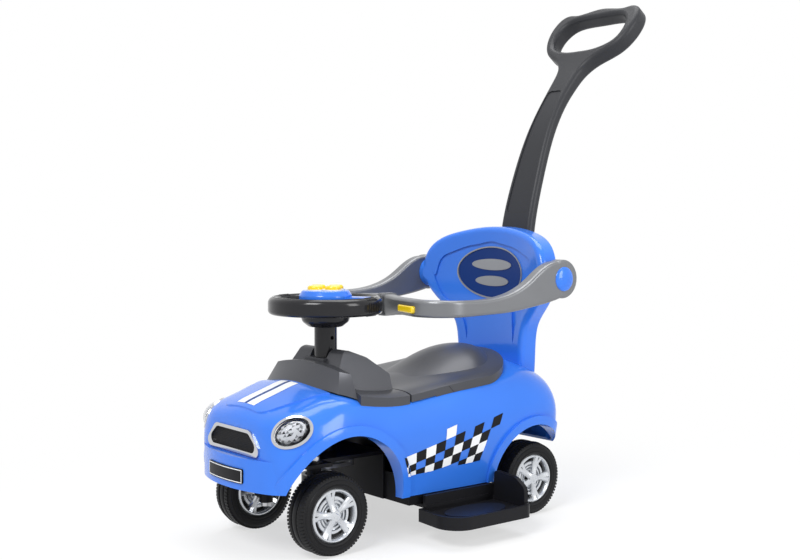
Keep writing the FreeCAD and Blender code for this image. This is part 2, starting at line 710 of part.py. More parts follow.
def knuckle(side):
    x, y = KINGPIN_X, FRONT_AXLE_Y
    inner_face = WHEEL_X - WHEEL_W / 2 - 0.3
    sleeve = rod(KINGPIN_R + 6, V(x, y, 48), V(x, y, BEAM_Z - 0.3))
    boss = rod(KINGPIN_R + 6, V(x, y, AXLE_Z), V(inner_face, y, AXLE_Z))
    arm = box(x - 7, x + 7, y, y + ARM_L, ROD_Z - 8, ROD_Z - 1)
    eye = rod(7, V(x, y + ARM_L, ROD_Z - 8), V(x, y + ARM_L, ROD_Z - 1))
    pin = rod(LINK_PIN_R, V(x, y + ARM_L, ROD_Z - 1), V(x, y + ARM_L, ROD_Z + ROD_T))
    body = fuse([sleeve, boss, arm, eye, pin])
    body = body.cut(rod(KINGPIN_R + RUN, V(x, y, 0), V(x, y, 300)))
    body = body.cut(rod(AXLE_R, V(x + 8, y, AXLE_Z), V(x + 80, y, AXLE_Z)))
    return body if side > 0 else flipped(body)


def stub_axle(side):
    end = WHEEL_X + WHEEL_W / 2 - 2
    stub = rod(AXLE_R, V(KINGPIN_X + 8, FRONT_AXLE_Y, AXLE_Z), V(end, FRONT_AXLE_Y, AXLE_Z))
    stub = fuse([stub, axle_nut(FRONT_AXLE_Y)])
    return stub if side > 0 else flipped(stub)


def tie_rod():
    y = FRONT_AXLE_Y + ARM_L
    pin_y = COLUMN_Y + ARM_L
    bar = box(-KINGPIN_X, KINGPIN_X, y - 7, y + 7, ROD_Z, ROD_Z + ROD_T)
    tongue = box(-8, 8, y, pin_y, ROD_Z, ROD_Z + ROD_T)
    places = [(-KINGPIN_X, y), (KINGPIN_X, y), (0, pin_y)]
    ends = [rod(8, V(u, v, ROD_Z), V(u, v, ROD_Z + ROD_T)) for u, v in places]
    link = fuse([bar, tongue] + ends)
    for u, v in places:
        link = link.cut(rod(LINK_PIN_R + RUN, V(u, v, ROD_Z - 5), V(u, v, ROD_Z + 20)))
    return link


CRANK_Z = ROD_Z + ROD_T + 2


def steering_crank():
    y0, y1 = COLUMN_Y, COLUMN_Y + ARM_L
    top = CRANK_Z + ROD_T
    collar = rod(SHAFT_R + 5, V(0, y0, CRANK_Z), V(0, y0, top))
    arm = box(-8, 8, y0, y1, CRANK_Z, top)
    eye = rod(8, V(0, y1, CRANK_Z), V(0, y1, top))
    pin = rod(LINK_PIN_R, V(0, y1, ROD_Z), V(0, y1, CRANK_Z))
    return fuse([collar, arm, eye, pin]).cut(rod(SHAFT_R, V(0, y0, CRANK_Z - 1), V(0, y0, top + 1)))


HUB_Z = RIM_Z - 20
BOSS_Z = BEAM_Z + 18


def steering_column():
    """Turned column: shaft in the chassis bearing, flange on the bearing, wide tube above the dash."""
    profile = [
        (CRANK_Z, 0), (CRANK_Z, SHAFT_R), (BOSS_Z + 0.1, SHAFT_R), (BOSS_Z + 0.1, SHAFT_R + 5),
        (HOOD_Z - 40, SHAFT_R + 5), (HOOD_Z - 25, COLUMN_R), (HUB_Z, COLUMN_R), (HUB_Z, 12),
        (RIM_Z - 7, 12), (RIM_Z - 7, 0),
    ]
    column = turned(profile, [0] * len(profile), "z")
    column.translate(V(0, COLUMN_Y, 0))
    return column.cut(rod(CROSS_HOLE_R, V(-40, COLUMN_Y, CROSS_HOLE_Z), V(40, COLUMN_Y, CROSS_HOLE_Z)))


def at_column(shape):
    shape.translate(V(0, COLUMN_Y, 0))
    return shape


def steering_wheel():
    """Rim with three spokes running down to the hub cup."""
    inner = RIM_R - RIM_W
    rim = turned(
        [(RIM_Z, inner), (RIM_Z, RIM_R), (RIM_Z + RIM_H, RIM_R), (RIM_Z + RIM_H, inner)], [7, 7, 10, 10], "z",
    )
    cup = turned(
        [(HUB_Z, 0), (HUB_Z, 27), (HUB_Z + 8, 37), (RIM_Z + 2, 41), (RIM_Z + 12, 41), (RIM_Z + 12, 37),
         (RIM_Z, 37), (RIM_Z, 0)],
        [0, 6, 9, 0, 0, 0, 0, 0], "z",
    )
    pieces = [rim, cup]
    for angle in (30, 150, 270):
        arm = box(34, inner + 5, -11, 11, RIM_Z + 1, RIM_Z + 10)
        arm.rotate(V(0, 0, 0), V(0, 0, 1), angle)
        pieces.append(arm)
    wheel = fuse(pieces).cut(rod(37, V(0, 0, RIM_Z), V(0, 0, RIM_Z + 40)))
    wheel = wheel.cut(rod(12, V(0, 0, HUB_Z - 1), V(0, 0, RIM_Z - 7)))
    return at_column(wheel)


BUTTON_SPOTS = {
    "left": (BUTTON_AT, 0), "right": (-BUTTON_AT, 0), "front": (0, -BUTTON_AT), "rear": (0, BUTTON_AT),
}
WELL_Z = PANEL_Z - 8


def button_well(name, gap, low, high):
    u, v = BUTTON_SPOTS[name]
    return rod(BUTTON_R + gap, V(u, v, low), V(u, v, high))


def wheel_panel():
    """Blue centre with two short arms that lie on the rim's spokes."""
    pad = turned(
        [(RIM_Z + 12, 0), (RIM_Z + 12, PANEL_R), (PANEL_Z - 8, PANEL_R), (PANEL_Z, PANEL_R - 5), (PANEL_Z, 0)],
        [0, 3, 5, 4, 0], "z",
    )
    pieces = [pad]
    for angle in (30, 150):
        arm = box(PANEL_R - 8, RIM_R - RIM_W - 0.5, -13, 13, RIM_Z + 12, RIM_Z + RIM_H)
        arm.rotate(V(0, 0, 0), V(0, 0, 1), angle)
        pieces.append(arm)
    panel = fuse(pieces).common(rod(RIM_R - RIM_W - FREE, V(0, 0, RIM_Z), V(0, 0, PANEL_Z + 1)))
    for name in BUTTON_SPOTS:
        panel = panel.cut(button_well(name, FREE, WELL_Z, PANEL_Z + 10))
    return at_column(panel)


def button_surround():
    """White clover-shaped frame around the buttons."""
    leaves = [button_well(name, 3, PANEL_Z, PANEL_Z + 2) for name in BUTTON_SPOTS]
    frame = fuse(leaves + [rod(BUTTON_AT, V(0, 0, PANEL_Z), V(0, 0, PANEL_Z + 2))])
    for name in BUTTON_SPOTS:
        frame = frame.cut(button_well(name, FREE, PANEL_Z - 5, PANEL_Z + 10))
    return at_column(frame)


def sound_unit():
    return at_column(rod(33, V(0, 0, RIM_Z), V(0, 0, RIM_Z + 11.6)))


def music_button(name):
    button = button_well(name, 0, WELL_Z + BUTTON_TRAVEL + 0.5, PANEL_Z + 8)
    top = [e for e in button.Edges if e.BoundBox.ZMin > PANEL_Z + 7.9]
    return at_column(button.makeFillet(4, top))


# Backrest

def back_outline(inset, low):
    half = BACK_HALF - inset
    top = BACK_TOP - inset
    run = mirrored_run([
        (half - 75, low), (half - 70, 290), (half - 64, 315), (half - 36, 347), (half - 8, 380), (half, 404),
        (half - 2, top - 62), (half - 12, top - 40), (half - 34, top - 22), (half - 70, top - 10),
        (half - 110, top - 3), (0, top),
    ])
    return spline_prism([run, [run[-1], run[0]]], "xz", 100, 300)


def back_round(radius):
    centre = V(0, BACK_Y - BACK_R, 150)
    return rod(radius, centre, centre + V(0, 0, 500))


def back_layer(low, high):
    return back_round(BACK_R + high).cut(back_round(BACK_R + low))


def pivot_rod(radius, x0, x1):
    return rod(radius, V(x0, PIVOT_Y, PIVOT_Z), V(x1, PIVOT_Y, PIVOT_Z))


BACK_LOW = SEAM_Z + 15


def badge(a, b, low, high, z=BADGE_Z):
    """Oval on the front of the backrest, between two depths behind its front face."""
    oval = ellipse_rod(a, b, -60, 60)
    oval = stood(oval, V(0, BACK_Y, z), V(1, 0, 0), V(0, -1, 0))
    return oval.common(back_layer(low, high))


def backrest():
    shell = back_outline(0, BACK_LOW).common(back_layer(0, BACK_T))
    for radius, depth in ((10, 0), (5, BACK_T)):
        rim = back_round(BACK_R + depth).Faces[0]
        edges = [e for e in shell.Edges if e.Length > 300 and e.distToShape(rim)[0] < 0.01]
        shell = shell.makeFillet(radius, edges)
    hollow = back_outline(WALL + 3, BACK_LOW + 60).common(back_layer(9, BACK_T + 5))
    recess = back_outline(26, BADGE_Z - 66).common(back_layer(-5, 4))
    shell = shell.cut(hollow).cut(recess).cut(FORM)
    for side in SIDES.values():
        boss = pivot_rod(26, side * (ARM_IN - 22), side * (ARM_IN - 0.5))
        shell = shell.fuse(boss.cut(back_round(BACK_R))).removeSplitter()
    shell = shell.cut(badge(BADGE_A + BADGE_TRIM, BADGE_B + BADGE_TRIM, -5, 6))
    return shell.cut(pivot_pins())


def pivot_pins():
    return both(pivot_rod(PIVOT_R, ARM_IN - 22, ARM_IN + ARM_T - 1))


def back_cover():
    plate = back_outline(WALL + 3 + FREE, BACK_LOW + 62).common(back_layer(BACK_T - WALL, BACK_T))
    rib = box(-50, 50, BACK_Y, BACK_Y + 60, BACK_LOW + 75, BACK_TOP - 40).common(back_layer(9, BACK_T - WALL))
    rib = rib.cut(box(-44, 44, BACK_Y - 20, BACK_Y + 80, BACK_LOW + 81, BACK_TOP - 46))
    return fuse([plate, rib]).cut(pivot_rod(27, -200, 200))


def badge_plate():
    return badge(BADGE_A, BADGE_B, 4, 6)


def badge_trim():
    return badge(BADGE_A + BADGE_TRIM, BADGE_B + BADGE_TRIM, 2, 6).cut(badge(BADGE_A, BADGE_B, 0, 8))


def badge_vents():
    """Two oval inlays standing on the badge plate."""
    return Part.makeCompound([badge(50, 10, 2.5, 4, BADGE_Z + 14), badge(42, 9, 2.5, 4, BADGE_Z - 15)])


# Guard

SPLIT_X = 1.0


def guard_plan(high):
    """Left half of the guard from above: side run, rounded corner and front run sloping to the middle."""
    out = ARM_IN + ARM_T
    rise = ARM_T / 2 * math.sqrt(1 + GUARD_SLOPE ** 2)
    def front(x, offset):
        return (x, GUARD_Y + offset - GUARD_SLOPE * x)
    points = [
        (out, PIVOT_Y), front(out, -rise), front(0, -rise),
        front(0, rise), front(ARM_IN, rise), (ARM_IN, PIVOT_Y),
    ]
    return prism(points, [0, 56, 0, 0, 34, 0], "xy", 300, high)


def guard_side():
    """Side view of the guard: thicker at the split, level in front, sweeping up to the pivot."""
    z0, z1 = ARM_Z, ARM_Z + ARM_H
    y = PIVOT_Y
    top = [(y, z1 + 55), (y - 25, z1 + 55), (y - 50, z1 + 44), (y - 75, z1 + 27), (y - 100, z1 + 14),
           (y - 130, z1 + 5), (y - 175, z1), (y - 300, z1)]
    low = [(y - 300, z0), (y - 210, z0), (y - 165, z0 + 1), (y - 115, z0 + 3), (y - 75, z0 + 8),
           (y - 35, z0 + 14), (y, z0 + 22)]
    side = spline_prism([top, [top[-1], low[0]], low, [low[-1], top[0]]], "yz", 0, 260)
    thick = SPLIT_X + 20
    root = [(SPLIT_X, z0 - 5), (thick, z0 - 5), (110, z0 + 2)]
    root += [(110, z1 - 2), (thick, z1 + 3), (SPLIT_X, z1 + 3)]
    return side.fuse(prism(root, 0, "xz", GUARD_Y - 80, GUARD_Y + 40)).removeSplitter()


def guard_arm(side):
    bar = guard_plan(500).common(guard_side())
    bar = bar.common(box(SPLIT_X, 300, -400, 400, 0, 600))
    long_edges = [e for e in bar.Edges if e.Length > 40]
    bar = bar.makeFillet(5, long_edges)
    boss = pivot_rod(32, ARM_IN, ARM_IN + ARM_T)
    boss = boss.makeFillet(4, [e for e in boss.Edges if len(e.Vertexes) == 1])
    arm = fuse([bar, boss]).cut(pivot_rod(PIVOT_R + RUN, 0, 300))
    arm = arm.cut(pivot_rod(17, ARM_IN + ARM_T - 0.5, 300))
    if side < 0:
        return flipped(arm)
    return arm.cut(in_latch(latch_block(LATCH_HALF + 0.5, 6, -9, 20)))


def latch_block(half_w, half_h, low, high):
    points = [(-half_w, -half_h), (half_w, -half_h), (half_w, half_h), (-half_w, half_h)]
    return prism(points, 3.5, "xy", low, high)


def latch_outward():
    return V(-GUARD_SLOPE, -1, 0).normalize()


def in_latch(shape):
    rise = ARM_T / 2 * math.sqrt(1 + GUARD_SLOPE ** 2)
    place = V(LATCH_X, GUARD_Y - rise - GUARD_SLOPE * LATCH_X, ARM_Z + ARM_H / 2 - 1.5)
    outward = latch_outward()
    return stood(shape, place, outward.cross(V(0, 0, 1)) * -1, outward)


def guard_latch():
    block = latch_block(LATCH_HALF, 5.5, -9 + LATCH_TRAVEL + 0.5, 4)
    top = [e for e in block.Edges if e.BoundBox.ZMin > 3.9]
    return in_latch(block.makeFillet(2, top))


def guard_collar():
    """Ribbed sleeve around the left half's end, where the two halves meet."""
    y0 = GUARD_Y
    z = ARM_Z + ARM_H / 2
    ribs = []
    for x in (SPLIT_X, SPLIT_X + 5, SPLIT_X + 10):
        points = [(y0 - 18, z - 19.5), (y0 + 14, z - 19.5), (y0 + 14, z + 17.5), (y0 - 18, z + 17.5)]
        ribs.append(prism(points, 6, "yz", x, x + 3))
    core = [(y0 - 17, z - 18.5), (y0 + 12.5, z - 18.5), (y0 + 12.5, z + 16.5), (y0 - 17, z + 16.5)]
    sleeve = fuse(ribs + [prism(core, 5, "yz", SPLIT_X, SPLIT_X + 15)])
    return sleeve.cut(guard_arm(1))


def pivot_cap(side):
    cap = dome(20, 20, 6).fuse(rod(16.6, V(0, 0, -0.5), V(0, 0, 0.5))).removeSplitter()
    cap = stood(cap, V(ARM_IN + ARM_T, PIVOT_Y, PIVOT_Z), V(0, 1, 0), V(1, 0, 0))
    return cap if side > 0 else flipped(cap)


# Push handle

HANDLE_LINE = [
    (281, 340, 10), (281, 410, 10), (286, 478, 10), (310, 570, 10), (347, 662, 11),
    (388, 726, 12), (NECK_Y, NECK_Z, 14), (470, 831, 16), (502, 873, 16), (570, 964, 16),
]


def handle_band(inner, outer):
    """Curved slab along the handle's side line, between two parts of its half depth."""
    front = []
    rear = []
    for i, (y, z, half) in enumerate(HANDLE_LINE):
        before = HANDLE_LINE[max(i - 1, 0)]
        after = HANDLE_LINE[min(i + 1, len(HANDLE_LINE) - 1)]
        along = V(after[0] - before[0], after[1] - before[1], 0).normalize()
        ahead = V(-along.y, along.x, 0)
        front.append((y + ahead.x * half * outer, z + ahead.y * half * outer))
        rear.append((y + ahead.x * half * inner, z + ahead.y * half * inner))
    rear.reverse()
    return spline_prism([front, [front[-1], rear[0]], rear, [rear[-1], front[0]]], "yz", -200, 200)


def across_band(outline):
    """Prism through the loop, square to its tilted plane; heights are measured along the loop from the neck."""
    slab = Part.Face(Part.Wire(curve([V(u, v, 0) for u, v in outline], True))).extrude(V(0, 0, 500))
    slab.translate(V(0, 0, -250))
    tilt = math.radians(LOOP_TILT)
    return stood(slab, V(0, NECK_Y, NECK_Z), V(1, 0, 0), V(0, -math.cos(tilt), math.sin(tilt)))


def handle_form():
    g, n = GRIP_HALF, NECK_HALF
    loop = mirrored_run([
        (36, -520), (38, -420), (37, -330), (n + 8, -220), (n + 2, -130), (n, -70), (n + 1, -40), (n + 5, -14),
        (n + 18, 6), (g - 43, 20), (g - 18, 39), (g - 5, 62), (g, 88), (g - 3, 111), (g - 13, 127),
        (g - 29, 133), (g - 44, 131), (g - 70, 133), (0, 138),
    ])
    hole = mirrored_run([
        (0, 33), (30, 34), (58, 41), (g - 29, 54), (g - 23, 72), (g - 26, 93), (g - 38, 108),
        (g - 58, 114), (0, 115),
    ])
    plan = across_band(loop).cut(across_band(hole))
    return plan.common(handle_band(-1, 1)).common(box(-200, 200, 0, 800, HANDLE_FOOT, 1200))


def push_handle():
    half = handle_form().common(box(0, 200, 0, 800, 0, 1200))
    long_edges = [e for e in half.Edges if e.Length > 60 and e.BoundBox.XMax > 1]
    rims = [e for e in long_edges if e.BoundBox.ZMax > HANDLE_FOOT + 20]
    half = half.makeFillet(8, rims)
    handle = fuse([half, flipped(half)])
    panel = prism([(-27, 512), (27, 512), (17, 735), (-17, 735)], 8, "xz", 100, 750)
    handle = handle.cut(panel.common(handle_band(0.85, 1.3)))
    return handle.cut(handle_bolts())


def handle_bolts():
    bolts = []
    for z in (HANDLE_FOOT + 21, HANDLE_FOOT + 71):
        shank = rod(4, V(-48, 281, z), V(48, 281, z))
        heads = [rod(7, V(x, 281, z), V(x + 4, 281, z)) for x in (-52, 48)]
        bolts.append(shank.multiFuse(heads).removeSplitter())
    return Part.makeCompound(bolts)


def handle_socket():
    """Block on the back of the backrest that takes the handle's foot."""
    low, top = HANDLE_FOOT - 6, HANDLE_FOOT + 96
    block = prism([(-48, low), (48, low), (48, top), (-48, top)], 8, "xz", BACK_Y, 299)
    block = block.cut(back_round(BACK_R + BACK_T))
    slot = box(-38.7, 38.7, 150, 500, HANDLE_FOOT, top + 10).common(handle_band(-1.03, 1.03))
    return block.cut(slot).cut(handle_bolts())


# Nodes

def all_nodes():
    nodes = {
        "body_shell": body_shell(), "grille_frame": grille_frame(), "grille_mesh": grille_mesh(),
        "number_plate": number_plate(), "dash_cowl": dash_cowl(), "windscreen": windscreen(),
        "seat_lid": seat_lid(), "seat_hinge_pins": hinge_pins(), "storage_bin": storage_bin(),
        "chassis": chassis(), "footrest_screws": footrest_screws(), "rear_axle": rear_axle(),
        "rear_axle_spacers": rear_spacers(), "rear_axle_nuts": both(axle_nut(REAR_AXLE_Y)),
        "kingpins": kingpins(), "kingpin_nuts": kingpin_nuts(), "tie_rod": tie_rod(),
        "steering_crank": steering_crank(), "steering_column": steering_column(),
        "steering_wheel": steering_wheel(), "wheel_panel": wheel_panel(), "button_surround": button_surround(),
        "sound_unit": sound_unit(), "backrest": backrest(), "back_cover": back_cover(),
        "badge_plate": badge_plate(), "badge_trim": badge_trim(), "badge_vents": badge_vents(),
        "guard_pivot_pins": pivot_pins(), "guard_collar": guard_collar(), "guard_latch": guard_latch(),
        "lamp_bezels": both(lamp_bezel()), "lamp_reflectors": both(lamp_reflector()),
        "lamp_lenses": both(lamp_lens()), "foot_pads": both(foot_pad(1)), "push_handle": push_handle(),
        "handle_socket": handle_socket(), "handle_bolts": handle_bolts(),
    }
    for name in BUTTON_SPOTS:
        nodes[f"music_button_{name}"] = music_button(name)
    for name, side in SIDES.items():
        nodes[f"{name}_footrest"] = footrest(side)
        nodes[f"{name}_knuckle"] = knuckle(side)
        nodes[f"{name}_stub_axle"] = stub_axle(side)
        nodes[f"{name}_guard_arm"] = guard_arm(side)
        nodes[f"{name}_pivot_cap"] = pivot_cap(side)
        nodes.update(wheel_pieces("front", name))
        nodes.update(wheel_pieces("rear", name))
    return nodes


NODES = all_nodes()
WHOLE = Part.makeCompound(list(NODES.values())).optimalBoundingBox(True, False)
MID_Y = (WHOLE.YMin + WHOLE.YMax) / 2

os.makedirs("parts", exist_ok=True)
for node, shape in NODES.items():
    shape.translate(V(0, -MID_Y, 0))
    shape.exportStep(f"parts/{node}.step")
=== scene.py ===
import bmesh
import bpy
import json
import math
from mathutils import Matrix, Vector
from mathutils.bvhtree import BVHTree


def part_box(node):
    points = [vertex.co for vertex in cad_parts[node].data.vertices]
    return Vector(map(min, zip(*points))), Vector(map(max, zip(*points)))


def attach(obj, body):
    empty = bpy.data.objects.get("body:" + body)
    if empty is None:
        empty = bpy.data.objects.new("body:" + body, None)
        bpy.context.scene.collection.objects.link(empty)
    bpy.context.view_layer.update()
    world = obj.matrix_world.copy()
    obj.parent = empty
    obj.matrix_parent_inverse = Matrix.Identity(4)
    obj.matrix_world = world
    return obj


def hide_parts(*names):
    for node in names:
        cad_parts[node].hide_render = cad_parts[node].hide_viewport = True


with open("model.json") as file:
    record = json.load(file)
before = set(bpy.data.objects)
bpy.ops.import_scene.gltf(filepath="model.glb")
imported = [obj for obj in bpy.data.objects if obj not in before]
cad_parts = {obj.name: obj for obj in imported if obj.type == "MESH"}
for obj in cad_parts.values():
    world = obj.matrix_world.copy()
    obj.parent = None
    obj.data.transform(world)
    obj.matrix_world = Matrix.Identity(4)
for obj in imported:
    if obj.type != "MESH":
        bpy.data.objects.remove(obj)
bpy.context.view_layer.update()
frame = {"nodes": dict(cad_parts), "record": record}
NODES = frame["nodes"]
SIDES = {"left": 1, "right": -1}
MM = 0.001


# Places on the car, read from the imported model

def middle(node):
    low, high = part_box(node)
    return (low + high) / 2


AXLE_MID_Y = (middle("front_left_tyre").y + middle("rear_left_tyre").y) / 2
COLUMN = middle("steering_column")


def car(x, y, z):
    """A point given in millimetres from the ground midway between the axles."""
    return Vector((x * MM, y * MM + AXLE_MID_Y, z * MM))


# Mesh tools

def piece(name, form, body, slot, finishes=None, smooth_angle=35):
    """Makes an object of a finished bmesh and lets it move with a body of the car."""
    mesh = bpy.data.meshes.new(name)
    form.to_mesh(mesh)
    form.free()
    mesh.shade_smooth()
    mesh.set_sharp_from_angle(angle=math.radians(smooth_angle))
    for finish in finishes or [slot]:
        mesh.materials.append(MATERIALS[finish])
    thing = bpy.data.objects.new(name, mesh)
    bpy.context.scene.collection.objects.link(thing)
    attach(thing, body)
    return thing


def whole_of(form):
    """All the geometry of a bmesh, as its operators take it."""
    return form.verts[:] + form.edges[:] + form.faces[:]


def merged(parts):
    """One bmesh made of several."""
    whole = bmesh.new()
    for part in parts:
        mesh = bpy.data.meshes.new("part")
        part.to_mesh(mesh)
        part.free()
        whole.from_mesh(mesh)
        bpy.data.meshes.remove(mesh)
    return whole


def surface_of(node):
    """The surface of a CAD node, for laying thin films on it."""
    form = bmesh.new()
    form.from_mesh(NODES[node].data)
    tree = BVHTree.FromBMesh(form)
    form.free()
    return tree


# Material tools

def new_material(name):
    material = bpy.data.materials.new(name)
    material.use_nodes = True
    nodes = material.node_tree.nodes
    return material, nodes, material.node_tree.links, nodes["Principled BSDF"]


def add(nodes, kind, **inputs):
    """A new node with values for its inputs; a low line in a name stands for a space."""
    node = nodes.new(kind)
    for name, value in inputs.items():
        node.inputs[name.replace("_", " ")].default_value = value
    return node


def grain_group():
    """Fine moulding grain with faint handling marks: roughness, height and a colour tone."""
    group = bpy.data.node_groups.new("moulded_grain", "ShaderNodeTree")
    side = group.interface
    for name, value in (("Scale", 900.0), ("Rough low", 0.3), ("Rough high", 0.4), ("Tone low", 0.95)):
        side.new_socket(name, in_out="INPUT", socket_type="NodeSocketFloat").default_value = value
    for name in ("Roughness", "Height", "Tone"):
        side.new_socket(name, in_out="OUTPUT", socket_type="NodeSocketFloat")
    nodes = group.nodes
    links = group.links
    entry = nodes.new("NodeGroupInput")
    leave = nodes.new("NodeGroupOutput")
    place = nodes.new("ShaderNodeTexCoord")
    fine = add(nodes, "ShaderNodeTexNoise", Detail=3.0, Roughness=0.6)
    broad = add(nodes, "ShaderNodeTexNoise", Scale=14.0, Detail=4.0, Roughness=0.55)
    for texture in (fine, broad):
        links.new(place.outputs["Object"], texture.inputs["Vector"])
    links.new(entry.outputs["Scale"], fine.inputs["Scale"])
    links.new(fine.outputs["Fac"], leave.inputs["Height"])
    rough = nodes.new("ShaderNodeMapRange")
    links.new(broad.outputs["Fac"], rough.inputs["Value"])
    links.new(entry.outputs["Rough low"], rough.inputs["To Min"])
    links.new(entry.outputs["Rough high"], rough.inputs["To Max"])
    links.new(rough.outputs["Result"], leave.inputs["Roughness"])
    tone = add(nodes, "ShaderNodeMapRange", From_Min=0.3, From_Max=0.7, To_Max=1.0)
    links.new(broad.outputs["Fac"], tone.inputs["Value"])
    links.new(entry.outputs["Tone low"], tone.inputs["To Min"])
    links.new(tone.outputs["Result"], leave.inputs["Tone"])
    return group


GRAIN = grain_group()
GLOSS_SPREAD = 0.06
GRAIN_HEIGHT = 0.4 * MM

# Colour sockets of the mix node
MIX_FIRST = 6
MIX_SECOND = 7
MIX_RESULT = 2


def grain_node(nodes, scale, low, high):
    """The shared grain with its own scale and its own range of roughness."""
    node = nodes.new("ShaderNodeGroup")
    node.node_tree = GRAIN
    node.inputs["Scale"].default_value = scale
    node.inputs["Rough low"].default_value = low
    node.inputs["Rough high"].default_value = high
    return node


def moulded(name, colour, rough, grain=900.0, depth=0.02, tone=0.94, metallic=0.0, coat=0.0, specular=0.5):
    """A plastic or metal: its colour varies a little, its gloss varies more, and it has a fine grain."""
    material, nodes, links, shader = new_material(name)
    effect = grain_node(nodes, grain, rough - GLOSS_SPREAD / 2, rough + GLOSS_SPREAD / 2)
    effect.inputs["Tone low"].default_value = tone
    shade = nodes.new("ShaderNodeMix")
    shade.data_type = "RGBA"
    shade.blend_type = "MULTIPLY"
    shade.inputs["Factor"].default_value = 1.0
    shade.inputs[MIX_FIRST].default_value = (*colour, 1)
    links.new(effect.outputs["Tone"], shade.inputs[MIX_SECOND])
    links.new(shade.outputs[MIX_RESULT], shader.inputs["Base Color"])
    links.new(effect.outputs["Roughness"], shader.inputs["Roughness"])
    bump = add(nodes, "ShaderNodeBump", Strength=depth, Distance=GRAIN_HEIGHT)
    links.new(effect.outputs["Height"], bump.inputs["Height"])
    links.new(bump.outputs["Normal"], shader.inputs["Normal"])
    shader.inputs["Metallic"].default_value = metallic
    shader.inputs["Coat Weight"].default_value = coat
    shader.inputs["Coat Roughness"].default_value = 0.05
    shader.inputs["Specular IOR Level"].default_value = specular
    return material


def clear_lens():
    """Clear plastic, faintly smoked so that the lamps stand out from white surroundings."""
    material, nodes, links, shader = new_material("clear_lens")
    effect = grain_node(nodes, 200.0, 0.02, 0.07)
    links.new(effect.outputs["Roughness"], shader.inputs["Roughness"])
    shader.inputs["Base Color"].default_value = (0.80, 0.81, 0.83, 1)
    shader.inputs["Transmission Weight"].default_value = 1.0
    shader.inputs["IOR"].default_value = 1.1
    shader.inputs["Specular IOR Level"].default_value = 0.1
    return material


def mesh_black():
    """Black plastic with a fine regular mesh pressed into it."""
    material = moulded("mesh_black", (0.010, 0.010, 0.011), 0.4, specular=0.06)
    nodes = material.node_tree.nodes
    links = material.node_tree.links
    place = nodes.new("ShaderNodeTexCoord")
    cells = add(nodes, "ShaderNodeTexVoronoi", Scale=380.0, Randomness=0.0)
    links.new(place.outputs["Object"], cells.inputs["Vector"])
    bump = add(nodes, "ShaderNodeBump", Strength=0.7, Distance=1 * MM)
    links.new(cells.outputs["Distance"], bump.inputs["Height"])
    links.new(bump.outputs["Normal"], nodes["Principled BSDF"].inputs["Normal"])
    return material


# Finishes of the plastic, printed and metal pieces

FINISHES = {
    "body_blue": dict(colour=(0.034, 0.185, 0.76), rough=0.2, grain=500.0, depth=0.01, tone=0.96, coat=0.35,
                      specular=0.25),
    "seat_grey": dict(colour=(0.075, 0.077, 0.086), rough=0.34, grain=1600.0, depth=0.06, metallic=0.4,
                      specular=0.25),
    "black_plastic": dict(colour=(0.011, 0.011, 0.013), rough=0.34, grain=1400.0, depth=0.05, specular=0.12),
    "handle_grey": dict(colour=(0.034, 0.035, 0.039), rough=0.4, grain=1500.0, depth=0.06, specular=0.2),
    "arm_silver": dict(colour=(0.19, 0.195, 0.205), rough=0.33, grain=1500.0, depth=0.04, metallic=0.5),
    "chrome_trim": dict(colour=(0.60, 0.61, 0.63), rough=0.12, grain=300.0, depth=0.01, metallic=1.0),
    "tyre_black": dict(colour=(0.012, 0.012, 0.013), rough=0.45, grain=1200.0, depth=0.1, specular=0.15),
    "rim_silver": dict(colour=(0.62, 0.64, 0.67), rough=0.26, metallic=0.8),
    "steel": dict(colour=(0.56, 0.57, 0.59), rough=0.3, grain=1100.0, depth=0.04, metallic=1.0),
    "button_yellow": dict(colour=(0.90, 0.62, 0.01), rough=0.25, depth=0.01, coat=0.3),
    "surround_white": dict(colour=(0.83, 0.84, 0.85), rough=0.25, depth=0.01, coat=0.3),
    "badge_navy": dict(colour=(0.006, 0.035, 0.18), rough=0.3, grain=1300.0, depth=0.04, specular=0.15),
    "trim_silver": dict(colour=(0.30, 0.31, 0.33), rough=0.32, metallic=0.4),
    "gloss_black": dict(colour=(0.012, 0.012, 0.014), rough=0.16, grain=700.0, depth=0.01, coat=0.15,
                        specular=0.25),
    "pad_black": dict(colour=(0.012, 0.016, 0.032), rough=0.3, grain=1200.0, depth=0.05, specular=0.3),
    # Black print, also laid as painted shade in the lamp crescent and the seat grooves
    "black_print_and_painted_shade": dict(colour=(0.010, 0.010, 0.012), rough=0.3, depth=0.01, specular=0.12),
    "print_white": dict(colour=(0.86, 0.87, 0.88), rough=0.3, depth=0.01, coat=0.4),
    # Lamp facet shades: painted highlights and painted shade that stand in for the glints of cut glass
    "facet_painted_shade": dict(colour=(0.045, 0.045, 0.05), rough=0.2, depth=0.01, specular=0.06),
    "facet_painted_half_shade": dict(colour=(0.26, 0.27, 0.28), rough=0.2, depth=0.01, specular=0.06),
    "facet_painted_highlight": dict(colour=(0.70, 0.71, 0.73), rough=0.2, depth=0.01, specular=0.1),
}
MATERIALS = {name: moulded(name, **values) for name, values in FINISHES.items()}
MATERIALS["clear_lens"] = clear_lens()
MATERIALS["mesh_black"] = mesh_black()

OWN_FINISH = {
    "grille_mesh": "mesh_black",
    "steering_wheel": "gloss_black",
    "steering_column": "gloss_black",
    "foot_pads": "pad_black",
}


def dress_cad_nodes():
    """Gives each carried-over CAD node its own finish or that of its slot."""
    for part in frame["record"]["subparts"]:
        finish = OWN_FINISH.get(part["node"], part["material_slot"])
        mesh = NODES[part["node"]].data
        mesh.materials.clear()
        mesh.materials.append(MATERIALS[finish])


# Films laid on the body, from places well beside, above or ahead of it

BESIDE = 200
ABOVE = 400
AHEAD = -400
FILM_LIFT = 0.35 * MM
THIN_LIFT = 0.2 * MM
LEAST_FACING = 0.45
PRINTS = ["black_print_and_painted_shade", "print_white"]
BLACK = PRINTS.index("black_print_and_painted_shade")
WHITE = PRINTS.index("print_white")
BODY_SURFACE = surface_of("body_shell")


